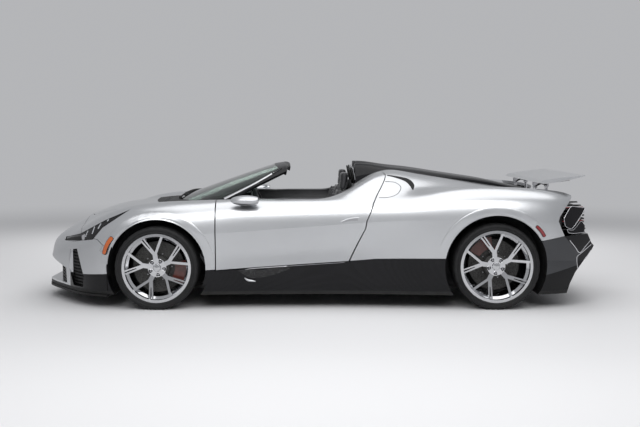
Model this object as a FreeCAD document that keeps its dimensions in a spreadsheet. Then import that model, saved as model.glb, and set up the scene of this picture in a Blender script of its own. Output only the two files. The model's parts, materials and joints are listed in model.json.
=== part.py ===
"""Open two-seat roadster with two doors, a lifting bonnet, steered front wheels and a raised rear wing.

Millimetres. +Z is up and the ground is at zero. The nose points along -X, the left side is at -Y, and the
origin lies on the ground under the middle of the car.
"""
import FreeCAD, Part
import Sketcher
import math
import os

Vector = FreeCAD.Vector

SIZES = {
    "Overall": {
        "wheelbase": 2711.0,
        "front_overhang": 1048.5,
        "rear_overhang": 851.5,
        "half_width": 1019.0,
        "sill_level": 115.0,
        "rocker_level": 330.0,
        "crease_level": 650.0,
        "belt_level": 860.0,
        "roof_level": 1155.0,
    },
    "Skin": {
        "skin": 28.0,
        "seat_gap": 0.4,
        "panel_seam": 4.0,
        "moving_seam": 7.0,
        "overrun": 300.0,
        "floor_sheet": 28.0,
        "pad_drop": 6.0,
        "pad_half": 30.0,
        "pad_setback": 557.0,
        "pad_lead": 504.0,
        "pad_spread": 700.0,
    },
    "Wheels": {
        "front_tyre_radius": 333.0,
        "front_tyre_width": 285.0,
        "front_track": 1749.0,
        "front_rim_radius": 276.0,
        "rear_tyre_radius": 345.0,
        "rear_tyre_width": 355.0,
        "rear_track": 1666.0,
        "rear_rim_radius": 289.0,
        "rim_wall": 9.0,
        "rim_lip": 13.0,
        "rim_drop": 34.0,
        "rim_inset": 12.0,
        "tyre_seat": 0.5,
        "tyre_shoulder": 26.0,
        "hub_radius": 74.0,
        "hub_depth": 46.0,
        "hub_recess": 44.0,
        "spoke_depth": 40.0,
        "stem_half_width": 19.0,
        "limb_half_width": 10.0,
        "slit_width": 6.0,
        "cap_radius": 33.0,
        "cap_depth": 9.0,
        "spindle_radius": 28.0,
        "running_clearance": 0.4,
    },
    "Brakes": {
        "disc_radius": 205.0,
        "disc_thickness": 36.0,
        "disc_hat_radius": 92.0,
        "disc_offset": 20.0,
        "caliper_depth": 62.0,
        "caliper_height": 92.0,
        "caliper_bridge": 22.0,
        "caliper_gap": 4.0,
    },
    "Running gear": {
        "kingpin_offset": 84.0,
        "knuckle_thickness": 42.0,
        "knuckle_height": 290.0,
        "knuckle_half_width": 52.0,
        "ball_pin_radius": 12.0,
        "arm_eye_radius": 24.0,
        "arm_thickness": 24.0,
        "arm_half_spread": 88.0,
        "arm_root_reach": 556.0,
        "front_house_radius": 409.0,
        "front_arch_radius": 389.0,
        "rear_house_radius": 400.0,
        "rear_arch_radius": 411.0,
        "front_house_inner": 560.0,
        "rear_house_inner": 622.0,
        "arch_lip_depth": 46.0,
        "shaft_radius": 22.0,
    },
    "Cabin": {
        "cabin_half_width": 718.0,
        "cabin_setback": 247.0,
        "bulkhead_lead": 1124.0,
        "floor_depth": 53.0,
        "tumblehome": 150.0,
        "tunnel_half_width": 130.0,
        "tunnel_height": 250.0,
        "seat_centre": 385.0,
        "seat_width": 500.0,
        "headrest_drop": 68.0,
        "dash_gap": 10.0,
        "dash_depth": 360.0,
        "dash_drop": 24.0,
        "dash_height": 276.0,
        "steering_radius": 178.0,
        "steering_rim": 15.0,
        "steering_reach": 200.0,
        "steering_drop": 90.0,
        "steering_tilt": 22.0,
    },
    "Doors": {
        "door_setback": 472.0,
        "door_hinge_inset": 39.0,
        "door_draft_angle": 20.0,
        "door_sill_step": 395.0,
        "door_lip": 40.0,
        "door_seam": 9.0,
        "mirror_length": 250.0,
        "mirror_depth": 120.0,
        "mirror_height": 82.0,
        "mirror_setback": 245.0,
        "mirror_rise": 14.0,
        "mirror_inset": 29.0,
    },
    "Bonnet": {
        "tub_lead": 573.0,
        "tub_length": 410.0,
        "tub_half": 330.0,
        "tub_rise": 100.0,
    },
    "Nose": {
        "grille_sheet": 10.0,
        "grille_pitch": 26.0,
        "splitter_drop": 19.0,
        "splitter_reach": 16.0,
        "marker_width": 18.0,
        "marker_seam": 1.5,
    },
    "Windscreen": {
        "glass_thickness": 6.0,
        "header_thickness": 26.0,
        "pillar_thickness": 24.0,
    },
    "Tail": {
        "tail_bow": 52.0,
        "louvre_count": 9.0,
        "louvre_thickness": 9.0,
        "engine_lead": 894.0,
        "engine_length": 930.0,
        "engine_half": 330.0,
        "engine_rise": 75.0,
        "engine_height": 610.0,
        "bay_clearance": 60.0,
        "cover_rise": 2.0,
        "scoop_depth": 300.0,
        "wing_half_span": 785.0,
        "wing_setback": 366.0,
        "wing_chord": 376.0,
        "wing_rise": 140.0,
        "wing_rake": 52.0,
        "wing_thickness": 34.0,
        "wing_travel": 95.0,
        "wing_strut": 445.0,
        "strut_radius": 13.0,
        "pipe_radius": 58.0,
        "pipe_wall": 4.0,
        "pipe_spread": 72.0,
        "well_lead": 30.0,
        "well_depth": 52.0,
    },
}


class Length(float):
    """A length that remembers the sheet formula it comes from."""

    def __new__(cls, value, formula):
        """Keep the value as a float and the formula beside it."""
        item = super().__new__(cls, value)
        item.formula = formula
        return item

    def __add__(self, other):
        """Add, in value and in formula."""
        return Length(float(self) + float(other), "(%s + %s)" % (formula_of(self), formula_of(other)))

    def __radd__(self, other):
        """Add with this length on the right."""
        return Length(float(self) + float(other), "(%s + %s)" % (formula_of(other), formula_of(self)))

    def __sub__(self, other):
        """Subtract, in value and in formula."""
        return Length(float(self) - float(other), "(%s - %s)" % (formula_of(self), formula_of(other)))

    def __rsub__(self, other):
        """Subtract this length from the other."""
        return Length(float(other) - float(self), "(%s - %s)" % (formula_of(other), formula_of(self)))

    def __mul__(self, share):
        """Scale by a plain share."""
        return Length(float(self) * float(share), "(%s * %s)" % (formula_of(self), formula_of(share)))

    def __rmul__(self, share):
        """Scale by a plain share."""
        return self * share

    def __truediv__(self, share):
        """Divide by a plain count or share."""
        return Length(float(self) / float(share), "(%s / %s)" % (formula_of(self), formula_of(share)))

    def __neg__(self):
        """Turn the sign."""
        return Length(-float(self), "(-1 * %s)" % formula_of(self))


def formula_of(value):
    """The sheet formula of a length, or the plain number."""
    return value.formula if isinstance(value, Length) else "%.9g" % float(value)


class Sheet:
    """The driving sizes, read back from the document's spreadsheet."""

    def __init__(self, document):
        """Fill the spreadsheet and read each size from it."""
        sheet = document.addObject("Spreadsheet::Sheet", "Sizes")
        row = 0
        for group, sizes in SIZES.items():
            row += 1
            sheet.set("A%d" % row, group)
            for name, value in sizes.items():
                row += 1
                sheet.set("A%d" % row, name)
                sheet.set("B%d" % row, "%g" % value)
                sheet.setAlias("B%d" % row, name)
        document.recompute()
        for sizes in SIZES.values():
            for name in sizes:
                setattr(self, name, Length(sheet.get(name), "Sizes." + name))


doc = FreeCAD.newDocument("Roadster")
s = Sheet(doc)
nodes = []

middle = s.half_width * 0.0
front_axle = s.front_overhang - (s.front_overhang + s.wheelbase + s.rear_overhang) / 2.0
rear_axle = front_axle + s.wheelbase

# Places along the car and heights that several pieces share.
cabin_front = front_axle + s.cabin_setback
cabin_rear = rear_axle - s.bulkhead_lead
cabin_floor = s.sill_level + s.floor_depth
headrest_top = s.roof_level - s.headrest_drop
dash_front = cabin_front + s.dash_gap
dash_rear = dash_front + s.dash_depth
dash_top = s.belt_level - s.dash_drop
dash_bottom = dash_top - s.dash_height
steering_x = dash_rear + s.steering_reach
steering_z = s.belt_level - s.steering_drop
door_front = front_axle + s.door_setback
door_hinge_y = s.half_width - s.door_hinge_inset
mirror_x = door_front + s.mirror_setback
mirror_y = s.half_width - s.mirror_inset
mirror_z = s.belt_level + s.mirror_rise
tub_front = front_axle - s.tub_lead
tub_rear = tub_front + s.tub_length
tub_floor = s.rocker_level + s.tub_rise
engine_front = rear_axle - s.engine_lead
engine_rear = engine_front + s.engine_length
engine_bottom = s.sill_level + s.engine_rise
engine_top = engine_bottom + s.engine_height
cover_bottom = s.belt_level + s.cover_rise
wing_front = rear_axle + s.wing_setback
wing_rear = wing_front + s.wing_chord
wing_front_z = s.belt_level + s.wing_rise
wing_rear_z = wing_front_z + s.wing_rake
well_front = wing_front - s.well_lead
well_floor = s.belt_level - s.well_depth


def along(share):
    """Length position: -1 at the nose, 0 at the front axle, 1 at the rear axle, 2 at the tail."""
    if share < 0.0:
        return front_axle + s.front_overhang * share
    if share < 1.0:
        return front_axle + s.wheelbase * share
    return rear_axle + s.rear_overhang * (share - 1.0)


def height(share):
    """Height: -1 on the ground, then 0 to 4 at the sill, rocker, crease, belt and roof levels."""
    levels = (s.sill_level * 0.0, s.sill_level, s.rocker_level, s.crease_level, s.belt_level, s.roof_level)
    step = min(max(int(math.floor(share)) + 1, 0), len(levels) - 2)
    return levels[step] + (levels[step + 1] - levels[step]) * (share + 1.0 - step)


def smooth_line(shares):
    """A smooth curve through (place, value) shares that never swings past them."""
    places = [pair[0] for pair in shares]
    values = [pair[1] for pair in shares]
    last = len(shares) - 1
    slopes = [(values[i + 1] - values[i]) / (places[i + 1] - places[i]) for i in range(last)]
    tangents = [slopes[0]]
    for i in range(1, last):
        before, after = slopes[i - 1], slopes[i]
        flat = before * after <= 0.0
        tangents.append(0.0 if flat else 2.0 * before * after / (before + after))
    tangents.append(slopes[-1])

    def value_at(place):
        if place <= places[0]:
            return values[0]
        if place >= places[-1]:
            return values[-1]
        i = 0
        while place > places[i + 1]:
            i += 1
        span = places[i + 1] - places[i]
        t = (place - places[i]) / span
        rise = t * t * (3.0 - 2.0 * t)
        leave = t * (1.0 - t) ** 2 * span * tangents[i]
        arrive = t * t * (t - 1.0) * span * tangents[i + 1]
        return values[i] + (values[i + 1] - values[i]) * rise + leave + arrive

    return value_at


def feature(label, shape, place=None):
    """A document object that holds a shape made by the Part functions."""
    item = doc.addObject("Part::Feature", label)
    item.Label = label
    item.Shape = shape
    if place is not None:
        item.Placement = place
    return item


def keep(item):
    """List a document object as a sub-part of the car."""
    nodes.append(item)
    return item


def bind(item, **formulas):
    """Tie an object's sizes to the sheet."""
    for name, value in formulas.items():
        item.setExpression(name, formula_of(value))


def put(item, x, y, z):
    """Tie an object's place to the sheet."""
    bind(item, **{"Placement.Base.x": x, "Placement.Base.y": y, "Placement.Base.z": z})


def box(label, low, high):
    """A box between two corners, tied to the sheet."""
    item = doc.addObject("Part::Box", label)
    bind(item, Length=high[0] - low[0], Width=high[1] - low[1], Height=high[2] - low[2])
    put(item, *low)
    return item


def revolved_body(label, corners, place, turn=0.0):
    """A body of revolution about its own Y axis from (along the axis, radius) corners."""
    body = doc.addObject("PartDesign::Body", label)
    body.Label = label
    sketch = sketch_outline(body, "XY_Plane", label + "_profile", [(radius, y) for y, radius in corners])
    turned = body.newObject("PartDesign::Revolution", label + "_turned")
    turned.Profile = sketch
    turned.ReferenceAxis = (sketch, ["V_Axis"])
    turned.Angle = 360.0
    put(body, *place)
    body.Placement.Rotation = FreeCAD.Rotation(Vector(0, 0, 1), turn)
    return body


def sketch_outline(body, role, label, corners):
    """A closed outline on one of the body's own planes, each corner tied to the sheet."""
    plane = [item for item in body.Origin.OriginFeatures if item.Role == role][0]
    sketch = body.newObject("Sketcher::SketchObject", label)
    sketch.AttachmentSupport = [(plane, "")]
    sketch.MapMode = "FlatFace"
    count = len(corners)
    for i in range(count):
        start = corners[i]
        end = corners[(i + 1) % count]
        sketch.addGeometry(Part.LineSegment(Vector(start[0], start[1], 0), Vector(end[0], end[1], 0)), False)
    for i in range(count):
        sketch.addConstraint(Sketcher.Constraint("Coincident", i, 2, (i + 1) % count, 1))
    for i, corner in enumerate(corners):
        for axis, value in zip("XY", corner):
            number = sketch.addConstraint(
                Sketcher.Constraint("Distance" + axis, -1, 1, i, 1, float(value)))
            sketch.setExpression("Constraints[%d]" % number, formula_of(value))
    return sketch


def polygon_face(points):
    """A flat face inside a closed outline."""
    return Part.Face(Part.makePolygon(points + points[:1]))


def side_prism(outline, near, far, grow=0.0):
    """A prism over an outline of (x, z) seen from the side, between two places across the car."""
    face = polygon_face([Vector(x, near, z) for x, z in outline])
    if grow:
        face = face.makeOffset2D(grow, join=2)
    return face.extrude(Vector(0, far - near, 0))


def plan_prism(outline, low, high, grow=0.0):
    """A prism over an outline of (x, y) seen from above, between two heights."""
    face = polygon_face([Vector(x, y, low) for x, y in outline])
    if grow:
        face = face.makeOffset2D(grow, join=2)
    return face.extrude(Vector(0, 0, high - low))


def end_prism(outline, front, rear):
    """A prism over an outline of (y, z) seen from the front, between two places along the car."""
    face = polygon_face([Vector(front, y, z) for y, z in outline])
    return face.extrude(Vector(rear - front, 0, 0))


def block(low, high):
    """A plain box between two corners."""
    return Part.makeBox(high[0] - low[0], high[1] - low[1], high[2] - low[2], Vector(*low))


def mirrored(shape):
    """The same shape on the other side of the car."""
    return shape.mirror(Vector(0, 0, 0), Vector(0, 1, 0))


def both_sides(shape):
    """A shape and its mirror image together."""
    return Part.makeCompound([shape, mirrored(shape)])


def both_ways(outline):
    """A plan outline given from front to rear on one side, closed over the other side."""
    return [(x, y) for x, y in outline] + [(x, -y) for x, y in reversed(outline) if y > 0.0]


def without(shape, *tools):
    """A shape with each tool cut away in turn."""
    for tool in tools:
        shape = shape.cut(tool)
    return shape


def solids_of(shape):
    """A clean compound of the solids in a shape, or the one solid."""
    solids = shape.removeSplitter().Solids
    return solids[0] if len(solids) == 1 else Part.makeCompound(solids)


# The lines of the body, each as (place, value) shares. Widths are shares of the half width or of the waist,
# heights are level shares, and places are shares along the car.
STATION_SHARES = (
    (-1.000, -0.990), (-0.993, -0.918), (-0.966, -0.823), (-0.899, -0.728), (-0.804, -0.632),
    (-0.690, -0.518), (-0.537, -0.394), (-0.346, -0.232), (-0.117, -0.041), (0.043, 0.058),
    (0.132, 0.132), (0.224, 0.224), (0.323, 0.323), (0.427, 0.427), (0.508, 0.508), (0.574, 0.574),
    (0.630, 0.630), (0.685, 0.685), (0.759, 0.759), (0.851, 0.851), (0.943, 0.943), (1.113, 1.113),
    (1.383, 1.383), (1.641, 1.583), (1.794, 1.735), (1.935, 1.876), (2.064, 1.994),
)
WAIST_WIDTH_SHARES = (
    (-0.990, 0.196), (-0.918, 0.339), (-0.823, 0.491), (-0.728, 0.633), (-0.632, 0.761), (-0.518, 0.868),
    (-0.394, 0.937), (-0.232, 0.981), (-0.041, 1.000), (0.058, 0.996), (0.132, 0.979), (0.224, 0.960),
    (0.323, 0.948), (0.427, 0.942), (0.574, 0.938), (0.685, 0.948), (0.759, 0.967), (0.851, 0.989),
    (0.943, 0.999), (1.113, 1.000), (1.383, 0.984), (1.583, 0.947), (1.735, 0.883), (1.876, 0.805),
    (1.994, 0.726),
)
WAIST_HEIGHT_SHARES = (
    (-0.990, 0.860), (-0.823, 1.094), (-0.632, 1.344), (-0.394, 1.625), (-0.041, 1.844), (0.176, 1.881),
    (0.394, 2.014), (0.615, 2.210), (0.759, 2.310), (0.943, 2.333), (1.383, 2.238), (1.994, 2.048),
)
CENTRE_HEIGHT_SHARES = (
    (-1.000, 1.031), (-0.993, 1.219), (-0.966, 1.469), (-0.899, 1.694), (-0.804, 1.913), (-0.690, 2.181),
    (-0.537, 2.500), (-0.346, 2.752), (-0.117, 2.895), (0.043, 2.990), (0.132, 3.017), (0.224, 3.027),
    (0.464, 3.034), (0.508, 3.068), (0.574, 3.339), (0.630, 3.627), (0.685, 3.797), (0.759, 3.746),
    (0.851, 3.610), (0.943, 3.475), (1.113, 3.332), (1.383, 3.220), (1.641, 3.153), (1.876, 3.085),
    (2.041, 3.034),
)
RIDGE_WIDTH_SHARES = (
    (-0.990, 0.50), (-0.041, 0.46), (0.132, 0.60), (0.224, 0.77), (0.508, 0.78), (0.574, 0.77),
    (0.630, 0.74), (0.685, 0.66), (0.759, 0.60), (0.851, 0.52), (0.943, 0.46), (1.113, 0.42), (1.994, 0.42),
)
RIDGE_HEIGHT_SHARES = (
    (-0.990, 1.094), (-0.918, 1.312), (-0.823, 1.531), (-0.728, 1.719), (-0.632, 1.906), (-0.518, 2.190),
    (-0.394, 2.452), (-0.232, 2.667), (-0.041, 2.810), (0.058, 2.905), (0.132, 2.990), (0.224, 3.027),
    (0.464, 3.034), (0.512, 3.095), (0.545, 3.197), (0.574, 3.366), (0.617, 3.627), (0.652, 3.797),
    (0.685, 3.854), (0.759, 3.786), (0.851, 3.644), (0.943, 3.492), (1.113, 3.339), (1.383, 3.237),
    (1.994, 3.000),
)
VALLEY_WIDTH_SHARES = (
    (-0.990, 0.70), (-0.041, 0.64), (0.132, 0.74), (0.224, 0.84), (0.508, 0.85), (0.630, 0.83),
    (0.685, 0.78), (0.759, 0.72), (0.851, 0.66), (0.943, 0.62), (1.113, 0.60), (1.994, 0.62),
)
VALLEY_HEIGHT_SHARES = (
    (-0.990, 1.062), (-0.918, 1.250), (-0.823, 1.453), (-0.728, 1.625), (-0.632, 1.812), (-0.518, 2.024),
    (-0.394, 2.310), (-0.232, 2.548), (-0.041, 2.714), (0.058, 2.833), (0.132, 2.952), (0.224, 3.020),
    (0.464, 3.027), (0.512, 3.075), (0.545, 3.163), (0.574, 3.271), (0.617, 3.424), (0.652, 3.508),
    (0.685, 3.508), (0.759, 3.356), (0.851, 3.254), (0.943, 3.220), (1.113, 3.169), (1.383, 3.136),
    (1.994, 2.952),
)
CREST_WIDTH_SHARES = (
    (-0.990, 0.86), (-0.394, 0.84), (-0.041, 0.81), (0.132, 0.85), (0.224, 0.885), (0.508, 0.90),
    (0.630, 0.89), (0.759, 0.865), (0.851, 0.84), (0.943, 0.82), (1.113, 0.815), (1.994, 0.84),
)
CREST_HEIGHT_SHARES = (
    (-0.990, 1.031), (-0.918, 1.203), (-0.823, 1.391), (-0.728, 1.578), (-0.632, 1.797), (-0.518, 2.071),
    (-0.394, 2.452), (-0.232, 2.786), (-0.108, 2.914), (0.003, 2.990), (0.058, 3.017), (0.132, 3.027),
    (0.224, 3.034), (0.464, 3.041), (0.574, 3.061), (0.630, 3.085), (0.685, 3.102), (0.759, 3.169),
    (0.833, 3.305), (0.906, 3.407), (0.991, 3.424), (1.265, 3.400), (1.559, 3.305), (1.759, 3.186),
    (1.994, 2.952),
)
MID_WIDTH_SHARES = (
    (-0.990, 1.000), (-0.041, 0.995), (0.132, 0.985), (0.224, 0.955), (0.390, 0.945), (0.537, 0.955),
    (0.630, 0.975), (0.759, 0.990), (0.943, 1.000), (1.994, 0.990),
)
ROCKER_WIDTH_SHARES = (
    (-0.990, 1.000), (-0.041, 0.985), (0.132, 0.985), (0.224, 0.975), (0.390, 0.970), (0.537, 0.972),
    (0.630, 0.980), (0.759, 0.985), (0.943, 0.985), (1.583, 0.950), (1.994, 0.940),
)
ROCKER_HEIGHT_SHARES = (
    (-0.990, 0.395), (-0.575, 0.702), (-0.384, 0.777), (0.003, 0.837), (0.146, 0.916), (0.257, 0.977),
    (0.560, 1.159), (0.644, 1.219), (0.726, 1.231), (0.851, 1.241), (0.943, 1.250), (1.994, 1.094),
)
INNER_RIDGE_SHARE = 0.55
CREST_LIFT_SHARE = 0.05
SHOULDER_SHARES = (0.72, 0.18)
FLANK_SHARES = (0.02, 0.42)
TUCK_SHARE = 0.98

waist_width = smooth_line(WAIST_WIDTH_SHARES)
waist_height = smooth_line(WAIST_HEIGHT_SHARES)
centre_height = smooth_line(CENTRE_HEIGHT_SHARES)
ridge_width = smooth_line(RIDGE_WIDTH_SHARES)
ridge_height = smooth_line(RIDGE_HEIGHT_SHARES)
valley_width = smooth_line(VALLEY_WIDTH_SHARES)
valley_height = smooth_line(VALLEY_HEIGHT_SHARES)
crest_width = smooth_line(CREST_WIDTH_SHARES)
crest_height = smooth_line(CREST_HEIGHT_SHARES)
mid_width = smooth_line(MID_WIDTH_SHARES)
rocker_width = smooth_line(ROCKER_WIDTH_SHARES)
rocker_height = smooth_line(ROCKER_HEIGHT_SHARES)

# The body's surface patches as column ranges of a section: the top, the flank and the sill, with degrees.
BODY_PATCHES = ((0, 8, 3), (7, 10, 2), (9, 12, 2))


def body_section(centre, side):
    """One cross-section of the right half, from the centre line over the wing's crest down to the sill."""
    waist = s.half_width * waist_width(side)
    waist_z = height(waist_height(side))
    ridge = Vector(0, waist * ridge_width(side), height(ridge_height(side)))
    valley = Vector(0, waist * valley_width(side), height(valley_height(side)))
    crest = Vector(0, waist * crest_width(side), height(crest_height(side)))
    rocker = Vector(0, waist * rocker_width(side), height(rocker_height(side)))
    top = height(centre_height(centre))
    rise = crest.z - waist_z
    reach = waist - crest.y
    points = [
        Vector(0, 0, top),
        Vector(0, ridge.y * INNER_RIDGE_SHARE, (top + ridge.z) / 2.0),
        ridge,
        valley,
        crest + Vector(0, 0, rise * CREST_LIFT_SHARE),
        Vector(0, crest.y + reach * SHOULDER_SHARES[0], crest.z - rise * SHOULDER_SHARES[1]),
        Vector(0, waist - reach * FLANK_SHARES[0], waist_z + rise * FLANK_SHARES[1]),
        Vector(0, waist, waist_z),
        Vector(0, waist * mid_width(side), (waist_z + rocker.z) / 2.0),
        rocker,
        Vector(0, rocker.y, (rocker.z + s.sill_level) / 2.0),
        Vector(0, rocker.y * TUCK_SHARE, s.sill_level),
    ]
    front = along(centre)
    bow = along(side) - front
    for point in points:
        point.x = front + bow * (point.y / waist) ** 2
    return points


def inset_sections(sections, inset):
    """The cross-sections moved inward along the surface, without the blunt first and last ones."""
    moved = []
    for i in range(2, len(sections) - 1):
        before, here, after = sections[i - 1], sections[i], sections[i + 1]
        row = []
        for j, point in enumerate(here):
            inner = Vector(point.x, -here[1].y, here[1].z) if j == 0 else here[j - 1]
            outer = here[j + 1] if j + 1 < len(here) else point
            normal = (after[j] - before[j]).cross(outer - inner).normalize()
            row.append(point - normal * float(inset))
        row[0].y = 0.0
        row[-1].z += inset
        moved.append(row)
    return moved


def skinned(sections, first, last, degree):
    """The poles and knots of a surface through some columns of the sections."""
    side = [section[-1].x for section in sections]
    places = [(x - side[0]) / (side[-1] - side[0]) for x in side]
    columns = []
    for j in range(first, last):
        curve = Part.BSplineCurve()
        curve.interpolate(Points=[section[j] for section in sections], Parameters=places)
        columns.append(curve)
    poles = [list(row) for row in zip(*[curve.getPoles() for curve in columns])]
    return poles, columns[0].getMultiplicities(), columns[0].getKnots(), degree


def clamped(count, degree):
    """Evenly spaced knots and their multiplicities for a curve that ends on its end poles."""
    spans = count - degree
    return [i / float(spans) for i in range(spans + 1)], [degree + 1] + [1] * (spans - 1) + [degree + 1]


def surface(poles, mults, knots, degree):
    """A face from rows of poles, cubic along the car."""
    across_knots, across_mults = clamped(len(poles[0]), degree)
    sheet = Part.BSplineSurface()
    sheet.buildFromPolesMultsKnots(
        poles, mults, across_mults, knots, across_knots, False, False, 3, degree)
    return sheet.toShape()


def strip(row, degree):
    """The flat end between one section and its mirror image."""
    knots, mults = clamped(len(row), degree)
    poles = [[Vector(point), Vector(point.x, -point.y, point.z)] for point in row]
    sheet = Part.BSplineSurface()
    sheet.buildFromPolesMultsKnots(poles, mults, [2, 2], knots, [0.0, 1.0], False, False, degree, 1)
    return sheet.toShape()


def lofted(sections, patches):
    """A closed solid through sections of the right half and their mirror images."""
    faces = []
    for first, last, degree in patches:
        poles, mults, knots, degree = skinned(sections, first, last, degree)
        for side in (1.0, -1.0):
            turned = [[Vector(p.x, p.y * side, p.z) for p in row] for row in poles]
            faces.append(surface(turned, mults, knots, degree))
        for end in (sections[0], sections[-1]):
            faces.append(strip(end[first:last], degree))
    poles, mults, knots, degree = skinned(sections, len(sections[0]) - 1, len(sections[0]), 1)
    floor = [[row[0], Vector(row[0].x, -row[0].y, row[0].z)] for row in poles]
    faces.append(surface(floor, mults, knots, 1))
    shell = Part.makeShell(faces)
    shell.sewShape()
    solid = Part.Solid(shell)
    if solid.Volume < 0.0:
        solid.reverse()
    return solid


body_sections = [body_section(centre, side) for centre, side in STATION_SHARES]
outer_body = lofted(body_sections, BODY_PATCHES)
inner_body = lofted(inset_sections(body_sections, s.skin), BODY_PATCHES)
core_body = lofted(inset_sections(body_sections, s.skin + s.seat_gap), BODY_PATCHES)

# How far the rear edge of a door has to move back for each length that it is further out.
door_draft = math.tan(math.radians(float(s.door_draft_angle)))
far_side = s.half_width + s.overrun
high_up = s.roof_level + s.overrun
low_down = s.sill_level - s.overrun


def bowed_block(outline, half_span, bow):
    """A block of an (x, z) outline across the car, whose middle stands further back than its ends."""
    edges = []
    for x, z in outline:
        poles = [Vector(x - bow, -half_span, z), Vector(x + bow, 0, z), Vector(x - bow, half_span, z)]
        curve = Part.BezierCurve()
        curve.setPoles(poles)
        edges.append(curve.toShape())
    faces = [Part.makeRuledSurface(edges[i - 1], edges[i]) for i in range(len(edges))]
    for end in (-half_span, half_span):
        faces.append(polygon_face([Vector(x - bow, end, z) for x, z in outline]))
    shell = Part.makeShell(faces)
    shell.sewShape()
    solid = Part.Solid(shell)
    if solid.Volume < 0.0:
        solid.reverse()
    return solid


def outline_of(shares):
    """(x, z) points from shares along the car and level shares."""
    return [(along(place), height(level)) for place, level in shares]


def outline_levels(shares):
    """Heights from level shares."""
    return [height(level) for level in shares]


# The tail seen from the side, from the deck down to the floor.
TAIL_SHARES = (
    (1.81, 3.30), (1.81, 2.97), (1.882, 2.73), (1.878, 2.31), (1.875, 2.10), (1.970, 1.58), (2.000, 1.50),
    (1.980, 1.40), (1.894, 1.13), (1.806, 0.78), (1.751, 0.37), (1.706, -0.30),
)
# The silver body's rear edge, curved in like the letter C.
REAR_EDGE_SHARES = (
    (1.735, 3.30), (1.732, 3.10), (1.653, 2.78), (1.591, 2.44), (1.579, 2.27), (1.600, 2.05), (1.646, 1.788),
)
PIPE_LEVEL_SHARE = 1.15
# The line between the body colour and the grey rear bumper.
BUMPER_LINE_SHARES = ((1.646, 1.788), (1.44, 1.688))
BEHIND_SHARE = 2.30
COWL_SHARE = 0.56
TAIL_LAMP_ROWS = (2, 6)
CARRIER_SHARES = (-0.75, -0.5, 0.0, 0.5, 0.75)
GRILLE_ROWS = 13
GRILLE_SHARE = -0.915
GRILLE_BOW_SHARE = -0.80
DUCT_INNER_SHARE = 0.60
SPLITTER_STATIONS = 8
SPLITTER_END_SHARE = -0.386
GRILLE_RIB_SHARES = (-0.98, -0.66, -0.33, 0.0, 0.33, 0.66, 0.98)

tail_line = outline_of(TAIL_SHARES)
behind = along(BEHIND_SHARE)
ahead = along(-BEHIND_SHARE)
cabin_middle = (cabin_front + cabin_rear) / 2.0
tail_cutter = bowed_block(
    tail_line + [(behind, tail_line[-1][1]), (behind, tail_line[0][1])], far_side, s.tail_bow)
inner_tail = bowed_block(
    [(x - s.skin, z) for x, z in tail_line]
    + [(behind, tail_line[-1][1]), (behind, tail_line[0][1])], far_side, s.tail_bow)
outer_body = outer_body.cut(tail_cutter)
inner_body = inner_body.cut(inner_tail)

floor_top = s.sill_level + s.floor_sheet
floor_slab = block((ahead, -far_side, low_down), (behind, far_side, floor_top))
above_floor = floor_slab.translated(Vector(0, 0, s.seat_gap))
shell = without(outer_body, inner_body, above_floor)


def wheel_cylinder(x, z, radius, inner, outer):
    """A cylinder about a wheel's axis on the left side, between two distances from the middle."""
    return Part.makeCylinder(radius, outer - inner, Vector(x, -outer, z), Vector(0, 1, 0))


def wheel_room(x, z, arch_radius, house_radius, inner):
    """The space round one wheel pair: the house inside the body and the arch through its skin."""
    lip = s.half_width - s.arch_lip_depth
    house = wheel_cylinder(x, z, house_radius, inner, lip)
    arch = wheel_cylinder(x, z, arch_radius, inner, far_side)
    return both_sides(house.fuse(arch))


front_room = wheel_room(front_axle, s.front_tyre_radius, s.front_arch_radius, s.front_house_radius,
                        s.front_house_inner)
rear_room = wheel_room(rear_axle, s.rear_tyre_radius, s.rear_arch_radius, s.rear_house_radius,
                       s.rear_house_inner)

def cabin_space(front, rear, margin):
    """The cabin's hollow, upright to the belt and then leaning in, with a margin kept off its sides."""
    wall = s.cabin_half_width - margin
    outline = [
        (-wall, cabin_floor), (wall, cabin_floor), (wall, s.belt_level),
        (wall - s.tumblehome, s.roof_level), (-wall + s.tumblehome, s.roof_level), (-wall, s.belt_level),
    ]
    return end_prism(outline, front, rear)


cabin_room = cabin_space(cabin_front, cabin_rear, middle)

# The foot of the windscreen seen from above, from the middle outward.
GLASS_FOOT_SHARES = ((0.030, 0.0), (0.036, 0.29), (0.077, 0.575), (0.135, 0.70), (0.172, 0.725))
glass_foot = [(along(place), s.half_width * share) for place, share in GLASS_FOOT_SHARES]
glass_well = plan_prism(both_ways(glass_foot + [(cabin_rear, s.cabin_half_width - s.panel_seam)]),
                        dash_top - s.skin, high_up)

# A door's rear seam as (place, level, width) shares, from its top down, then its front foot.
DOOR_SEAM_SHARES = (
    (0.6706, 3.688, 0.628), (0.6315, 2.938, 0.864), (0.6145, 2.271, 0.922), (0.6130, 1.981, 0.932),
    (0.5662, 1.172, 0.922),
)
DOOR_FOOT_SHARE = 0.935


def door_plug(grow):
    """The tapered plug of space that the left door fills, wider outside than inside."""
    wires = []
    for reach in (s.tunnel_half_width, far_side):
        seam = []
        for place, level, share in DOOR_SEAM_SHARES:
            seam.append(Vector(along(place) + (reach - s.half_width * share) * door_draft + grow,
                               -reach, height(level)))
        seam[-1].z -= grow
        top = Vector(seam[0].x, -reach, high_up)
        front_top = Vector(door_front - grow, -reach, high_up)
        foot = Vector(door_front - grow, -reach, height(DOOR_FOOT_SHARE) - grow)
        wires.append(Part.makePolygon([front_top, top] + seam + [foot, front_top]))
    plug = Part.makeLoft(wires, True, True)
    lip = s.half_width * DOOR_SEAM_SHARES[-1][2] - s.door_lip - grow
    step = block((door_front - s.overrun, -lip, low_down), (cabin_rear, 0, s.door_sill_step - grow))
    return plug.cut(step)


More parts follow.
